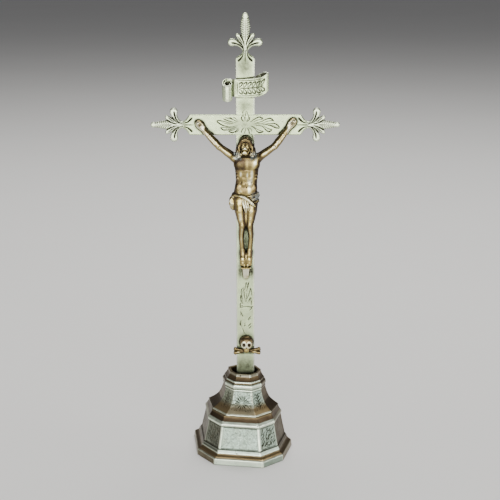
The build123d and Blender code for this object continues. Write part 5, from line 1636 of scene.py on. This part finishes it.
def tier(name, node, corners, outer, inner, counts, decorate, tone):
    unit, nor, side, along, corner = perimeter(corners, counts)
    z = np.array([r[0] for r in outer])
    a = np.array([r[1] for r in outer])
    # finer rows, slightly rounded at the breaks of the moulding
    length = np.concatenate([[0], np.cumsum(np.hypot(np.diff(z), np.diff(a)))])
    t = np.linspace(0, length[-1], int(length[-1] / 0.27))
    zf, af = np.interp(t, length, z), np.interp(t, length, a)
    kern = np.array([0.25, 0.5, 0.25])
    zs, as_ = zf.copy(), af.copy()
    for _ in range(2):
        zs[1:-1] = np.convolve(zs, kern, "same")[1:-1]
        as_[1:-1] = np.convolve(as_, kern, "same")[1:-1]
    slope = np.gradient(as_) / np.maximum(np.hypot(np.gradient(as_), np.gradient(zs)), 1e-9)
    bend = np.gradient(np.gradient(as_, t), t)
    rows = [("plan", zz, aa) for zz, aa in zip(zs, as_)] + inner
    count = len(unit)
    push = [np.zeros(count) for _ in rows]
    attrs = {key: np.zeros((len(rows), count)) for key in ("worn", "dim", "edge", "grime", "matted")}
    gz, gs = np.meshgrid(np.arange(len(zs)), np.arange(count), indexing="ij")
    s_mm = along[None, :] * as_[:, None]
    c_mm = corner[None, :] * as_[:, None]
    data = dict(z=np.broadcast_to(zs[:, None], gz.shape), s=s_mm, c=c_mm, side=np.broadcast_to(side[None, :], gz.shape),
                t=np.broadcast_to(t[:, None], gz.shape), half=(0.5 * np.linalg.norm(np.roll(corners, -1, 0) - corners, axis=1))[side][None, :] * as_[:, None],
                slope=np.broadcast_to(slope[:, None], gz.shape), bend=np.broadcast_to(bend[:, None], gz.shape), length=t, zs=zs)
    depth = decorate(data)
    got = tone(data, depth)
    for i in range(len(zs)):
        push[i] = -depth["cut"][i]
    # rows inside the tiers: darkened with painted shade
    for key in attrs:
        attrs[key][:len(zs)] = got[key]
        attrs[key][len(zs):] = {"worn": 0.1, "dim": 0.75, "edge": 0.0, "grime": 0.35, "matted": 0.4}[key]
    verts = ring_points(rows, unit, nor, push)
    m = len(rows)
    i, j = np.meshgrid(np.arange(m), np.arange(count), indexing="ij")
    p, q = i * count + j, i * count + (j + 1) % count
    r, u = ((i + 1) % m) * count + (j + 1) % count, ((i + 1) % m) * count + j
    quads = np.stack([p, q, r, u], -1).reshape(-1, 4)
    ob = mesh_object(name, verts, quads, BASE, "base", {k: v.ravel() for k, v in attrs.items()}, (node,))
    return ob


def ramp(x, a, b):
    return np.clip((x - a) / (b - a), 0, 1)


def side_mix(side, table, other):
    out = np.full(side.shape, float(other))
    for k, v in table.items():
        out[side == k] = v
    return out


def window(z, a, b, soft=0.3):
    return ramp(z, a - soft, a) * ramp(-z, -b - soft, -b)


def lower_decor(g):
    z, s, c, side, half = g["z"], g["s"], g["c"], g["side"], g["half"]
    field = window(z, 11.2, 26.4, 0.25) * ramp(c, 1.35, 1.75)
    cut = 0.22 * field
    dirt = 0.85 * np.clip(window(z, 11.1, 11.25, 0.25) + window(z, 26.45, 26.65, 0.25), 0, 1) * ramp(c, 1.2, 1.6)
    frame_line = ramp(c, 1.2, 1.45) * ramp(-c, -1.9, -1.6) * window(z, 11.1, 26.6, 0.2)
    dirt = np.maximum(dirt, 0.35 * frame_line)
    zc = 18.8
    for k, seed in ((RIGHT_DIAGONAL, 3), (LEFT_DIAGONAL, 5)):
        on = (side == k) & (z > 11.5) & (z < 27.3)
        flip = 1 if k == RIGHT_DIAGONAL else -1
        d, w = cuts(np.where(on, s, 99.0) * flip, z - zc, scatter(13.4, 13.6, 6, 6, seed, 3.0, 0.42, 0.95) + foliage(15.0, 13.2, seed)[:9])
        cut = cut + np.where(on, d * 0.9 - 0.10 * field, 0)
        dirt = np.maximum(dirt, np.where(on, w * (1.0 if k == RIGHT_DIAGONAL else 0.6), 0))
    on = (side == FRONT_SIDE) & (z > 11.5) & (z < 27.3)
    d, w = cuts(np.where(on, s, 99.0), z - zc, rosette(6.4, 18, 0.9, 0.3, 0.17))
    cut = cut + np.where(on, 0.6 * d, 0)
    dirt = np.maximum(dirt, np.where(on, 0.20 * w, 0))
    hole = pits(g, ((0, 12.8, 29.7, 0.34), (0, 7.9, 29.0, 0.3), (0, -2.9, 10.0, 0.34), (0, -2.0, 8.3, 0.45), (0, -3.2, 8.8, 0.3), (0, -14.0, 24.0, 0.4),
                    (0, -13.4, 12.6, 0.35), (1, -6.3, 12.4, 0.4)))
    return {"cut": cut + 0.3 * hole, "dirt": np.maximum(dirt, hole), "field": field}


def lower_tone(g, got):
    z, s, c, side = g["z"], g["s"], g["c"], g["side"]
    # front faces silvery and the sides and slopes dark: painted sheen and painted shade, with wear on the front
    shine = side_mix(side, {0: 1.0, 1: 1.0, 7: 0.75, 2: 0.12, 6: 0.14}, 0.2)
    high = np.maximum.reduce([window(z, 0.3, 4.2, 0.5), window(z, 7.9, 27.0, 0.6), window(z, 27.6, 30.9, 0.6)])
    worn = shine * high * np.where((side == 7) & (z < 7.0), 0.35, 1.0)
    dim = side_mix(side, {0: 0.0, 1: 0.20, 7: 0.72, 2: 0.88, 6: 0.90}, 0.6) * (0.75 + 0.25 * window(z, 8, 28))
    dim = np.maximum(dim, window(z, 0.0, 4.4, 0.3) * side_mix(side, {1: 0.42, 7: 0.80}, 0.0))
    dim = np.maximum(dim, np.maximum(0.22 * window(z, 5.0, 7.5, 0.5), 0.92 * window(z, 31.4, 34.0, 0.8)))
    # bright moulding ridges and corners: painted highlight
    ridge = np.maximum.reduce([window(z, 4.0, 4.7, 0.3), window(z, 7.7, 8.2, 0.25), window(z, 28.2, 30.4, 0.6) * 1.0, window(z, 9.7, 10.2, 0.3) * 0.7])
    upright_edge = np.where(side == 0, np.where(s > 0, ramp(-c, -1.55, -1.1), ramp(-c, -1.1, -0.7)), ramp(-c, -0.9, -0.4))
    upright_edge = upright_edge * np.where((side == 0) | ((side == 1) & (s < 0)) | ((side == 7) & (s > 0)), 1.0, 0.35)
    edge = np.clip(0.75 * ridge * shine + 0.9 * window(z, 27.9, 30.8, 0.5) * shine + 0.62 * (side == 0) * window(z, 0.6, 4.2, 0.4) + 1.1 * upright_edge * high * np.clip(shine + 0.1, 0, 1), 0, 1)
    # darker in the creases and along the foot: painted shade
    crease = np.maximum.reduce([window(z, 10.3, 10.7, 0.25), window(z, 27.1, 27.5, 0.3), 0.6 * window(z, 7.3, 7.65, 0.3), 0.4 * window(z, 34.4, 35.0, 0.5),
                                0.5 * ramp(-z, -0.5, 0.0)])
    grime = np.clip(np.maximum(got["dirt"], 0.85 * crease), 0, 1)
    return {"worn": worn, "dim": dim, "edge": edge, "grime": grime, "matted": got["field"] * np.where(side == FRONT_SIDE, 1.0, 0.7)}


def upper_decor(g):
    z, s, side, t = g["z"], g["s"], g["side"], g["t"]
    mid = np.interp(43.0, g["zs"], g["length"])
    w_front = (side == FRONT_SIDE) & (z > 36.4) & (z < 50.4)
    d, w = cuts(np.where(w_front, s + 0.4, 99.0), t - mid, rays(6.6, 40, 0.22) + scatter(16.0, 13.0, 9, 7, 8, 1.7, 0.20, 0.0, 6.4))
    cut = np.where(w_front, d, 0)
    dirt = np.where(w_front, w, 0)
    for k, flip in ((RIGHT_DIAGONAL, 1), (LEFT_DIAGONAL, -1)):
        on = (side == k) & (z > 37.0) & (z < 50.2)
        sprig = []
        for i in range(5):
            y = -5.2 + 2.2 * i
            sprig += leaf_strokes((0.2, y), (2.6, y + 2.6), bend=0.3, width=0.6, weight=0.36)
            sprig += leaf_strokes((-0.2, y), (-2.4, y + 2.4), bend=-0.3, width=0.6, weight=0.36)
        sprig.append(([(0, -6.0), (0.2, 0), (0, 6.0)], 0.3, 0.5))
        sprig = sprig[::2] + scatter(8.5, 12.5, 5, 7, 12 + k, 1.6, 0.24, 0.8)
        d, w = cuts(np.where(on, s, 99.0) * flip, t - mid, sprig)
        cut = cut + np.where(on, d, 0)
        dirt = np.maximum(dirt, np.where(on, w * (0.95 if k == RIGHT_DIAGONAL else 0.7), 0))
    hole = pits(g, ((0, -2.2, 62.6, 0.45),))
    return {"cut": cut + 0.3 * hole, "dirt": np.maximum(dirt, hole), "field": window(z, 40.5, 50.3, 1.5) * ((side == 0) | (side == 1) | (side == 7))}


def upper_tone(g, got):
    z, s, c, side = g["z"], g["s"], g["c"], g["side"]
    # front faces silvery and the sides and collar dark: painted sheen and painted shade, with wear on the front
    shine = side_mix(side, {0: 1.0, 1: 0.95, 7: 0.6, 2: 0.08, 6: 0.08}, 0.15)
    high = np.maximum.reduce([window(z, 43.0, 50.6, 3.2), window(z, 51.2, 52.2, 0.3), window(z, 53.0, 56.2, 0.4), 0.35 * window(z, 61.8, 63.6, 0.4),
                              window(z, 57.6, 58.4, 0.25)])
    worn = shine * high
    dim = side_mix(side, {0: 0.0, 1: 0.0, 7: 0.26, 2: 0.84, 6: 0.82}, 0.6)
    dim = np.maximum(dim, 0.76 * window(z, 58.6, 63.8, 0.4))
    # bright moulding ridges and corners: painted highlight
    ridge = np.maximum.reduce([window(z, 35.2, 36.1, 0.2), window(z, 51.3, 52.0, 0.2) * 0.8, window(z, 53.9, 55.3, 0.5), window(z, 57.8, 58.4, 0.2),
                               window(z, 62.2, 63.5, 0.4) * 0.12])
    upright_edge = ramp(-c, -1.0, -0.55) * np.where(((side == 0) & (s > 0)) | ((side == 1) & (s < 0)), 1.0, 0.35)
    edge = np.clip(0.85 * ridge * np.clip(shine + 0.25 * (side == 7), 0, 1) + 1.1 * upright_edge * high * shine + 0.18 * (side == 0) * window(z, 36.4, 40.6, 0.6), 0, 1)
    # darker in the creases: painted shade
    crease = np.maximum.reduce([window(z, 50.7, 51.0, 0.2), window(z, 52.3, 52.7, 0.2), window(z, 56.6, 57.3, 0.3) * 0.8, 0.5 * window(z, 35.0, 35.1, 0.15)])
    return {"worn": worn, "dim": dim, "edge": edge, "grime": np.clip(np.maximum(got["dirt"], 0.8 * crease), 0, 1), "matted": got["field"]}


def make_base():
    def blends(z, a, r, n, rev=False):
        ts = np.linspace(0, 1, n)
        return [("blend", z, (a, r, t)) for t in (ts[::-1] if rev else ts)]

    inner = (blends(35.0, 22.5, 12.5, 5) + [("round", 34.0, 12.5)] + blends(33.0, 21.3, 12.5, 5, True)
             + [("plan", 30.0, 22.05), ("plan", 27.0, 22.8), ("plan", 22.0, 23.8), ("plan", 16.0, 25.05), ("plan", 10.2, 26.2), ("plan", 7.0, 28.3),
                ("plan", 4.0, 30.3), ("plan", 2.0, 30.55), ("plan", 0.25, 30.75), ("plan", 0.0, 31.0), ("plan", 0.0, 32.0), ("plan", 0.0, 32.9)])
    tier("base_lower_casting", "base_lower", LOWER_PLAN, LOWER_RINGS, inner, [104, 66, 46, 32, 40, 32, 46, 66], lower_decor, lower_tone)
    inner = ([("plan", 63.8, 10.1), ("plan", 63.8, 9.2), ("plan", 63.75, 8.85), ("plan", 63.4, 8.69), ("plan", 62.4, 8.78), ("plan", 61.2, 8.9), ("plan", 59.6, 9.65),
              ("plan", 58.0, 10.4), ("plan", 56.4, 10.95)]
             + blends(55.0, 11.4, 6.05, 5) + [("round", 53.0, 6.05)] + blends(51.0, 10.9, 6.05, 5, True)
             + [("plan", 48.0, 11.65), ("plan", 45.5, 12.3), ("plan", 42.0, 13.8), ("plan", 38.0, 17.2)]
             + blends(36.6, 18.7, 12.5, 4) + [("round", 35.8, 12.5)] + blends(35.0, 22.1, 12.5, 5, True))
    tier("base_upper_casting", "base_upper", UPPER_PLAN, UPPER_RINGS, inner, [84, 52, 40, 26, 32, 26, 40, 52], upper_decor, upper_tone)


make_base()

# ------------------------------------------------------------------ fixings keep their turned shapes
for key in ("tier_rivets", "socket_plug", "socket_washer", "socket_nut", "titulus_pins", "hand_nails", "foot_nails", "suppedaneum_pin", "skull_pin"):
    ob = nodes[key]
    ob.data.materials.clear()
    ob.data.materials.append(FIXING)
    bev = ob.modifiers.new("edge", "BEVEL")
    bev.width = 0.00015
    bev.segments = 2
    bev.limit_method = "ANGLE"


# ------------------------------------------------------------------ stage
floor_me = bpy.data.meshes.new("floor")
floor_me.from_pydata([(-6, -6, 0), (6, -6, 0), (6, 6, 0), (-6, 6, 0)], [], [(0, 1, 2, 3)])
floor = bpy.data.objects.new("floor", floor_me)
bpy.context.scene.collection.objects.link(floor)
fs = Shade("floor_paper")
fs.put(fs.bsdf.inputs["Base Color"], fs.mix(fs.noise(3, 3), (0.74, 0.735, 0.72), (0.78, 0.775, 0.76)))
fs.bsdf.inputs["Roughness"].default_value = 0.85
floor_me.materials.append(fs.mat)

world = bpy.data.worlds.new("studio")
world.use_nodes = True
world.node_tree.nodes["Background"].inputs["Color"].default_value = (0.80, 0.80, 0.82, 1)
world.node_tree.nodes["Background"].inputs["Strength"].default_value = 0.20
bpy.context.scene.world = world


def softbox(name, place, aim, size, power, colour=(1, 1, 1)):
    lamp = bpy.data.lights.new(name, "AREA")
    lamp.shape = "RECTANGLE"
    lamp.size, lamp.size_y = size
    lamp.energy = power
    lamp.color = colour
    ob = bpy.data.objects.new(name, lamp)
    ob.location = place
    ob.rotation_euler = (Vector(aim) - Vector(place)).to_track_quat("-Z", "Y").to_euler()
    bpy.context.scene.collection.objects.link(ob)
    return ob


# broad light low in front, weaker ones at the sides, one overhead for the floor
softbox("front_low", (0.0, -1.6, 0.30), (0, 0, 0.14), (2.2, 0.55), 26, (1.0, 0.99, 0.96))
softbox("right", (1.5, -0.28, 0.26), (0, 0, 0.12), (0.55, 0.5), 3.6, (1.0, 0.99, 0.97))
softbox("left", (-1.5, -0.28, 0.26), (0, 0, 0.12), (0.55, 0.5), 1.0, (1.0, 0.99, 0.97))
softbox("overhead", (0.1, 0.55, 1.8), (0, -0.1, 0), (1.5, 1.1), 42, (1.0, 0.99, 0.97))

cam_data = bpy.data.cameras.new("camera")
cam_data.lens = 83.087
cam_data.sensor_width = 36.0
cam_data.dof.use_dof = False
cam = bpy.data.objects.new("camera", cam_data)
cam.location = (0.001509, -0.81119, 0.38786)
cam.rotation_euler = (math.radians(90 - 15.871), 0.0, math.radians(-0.13))
bpy.context.scene.collection.objects.link(cam)
bpy.context.scene.camera = cam
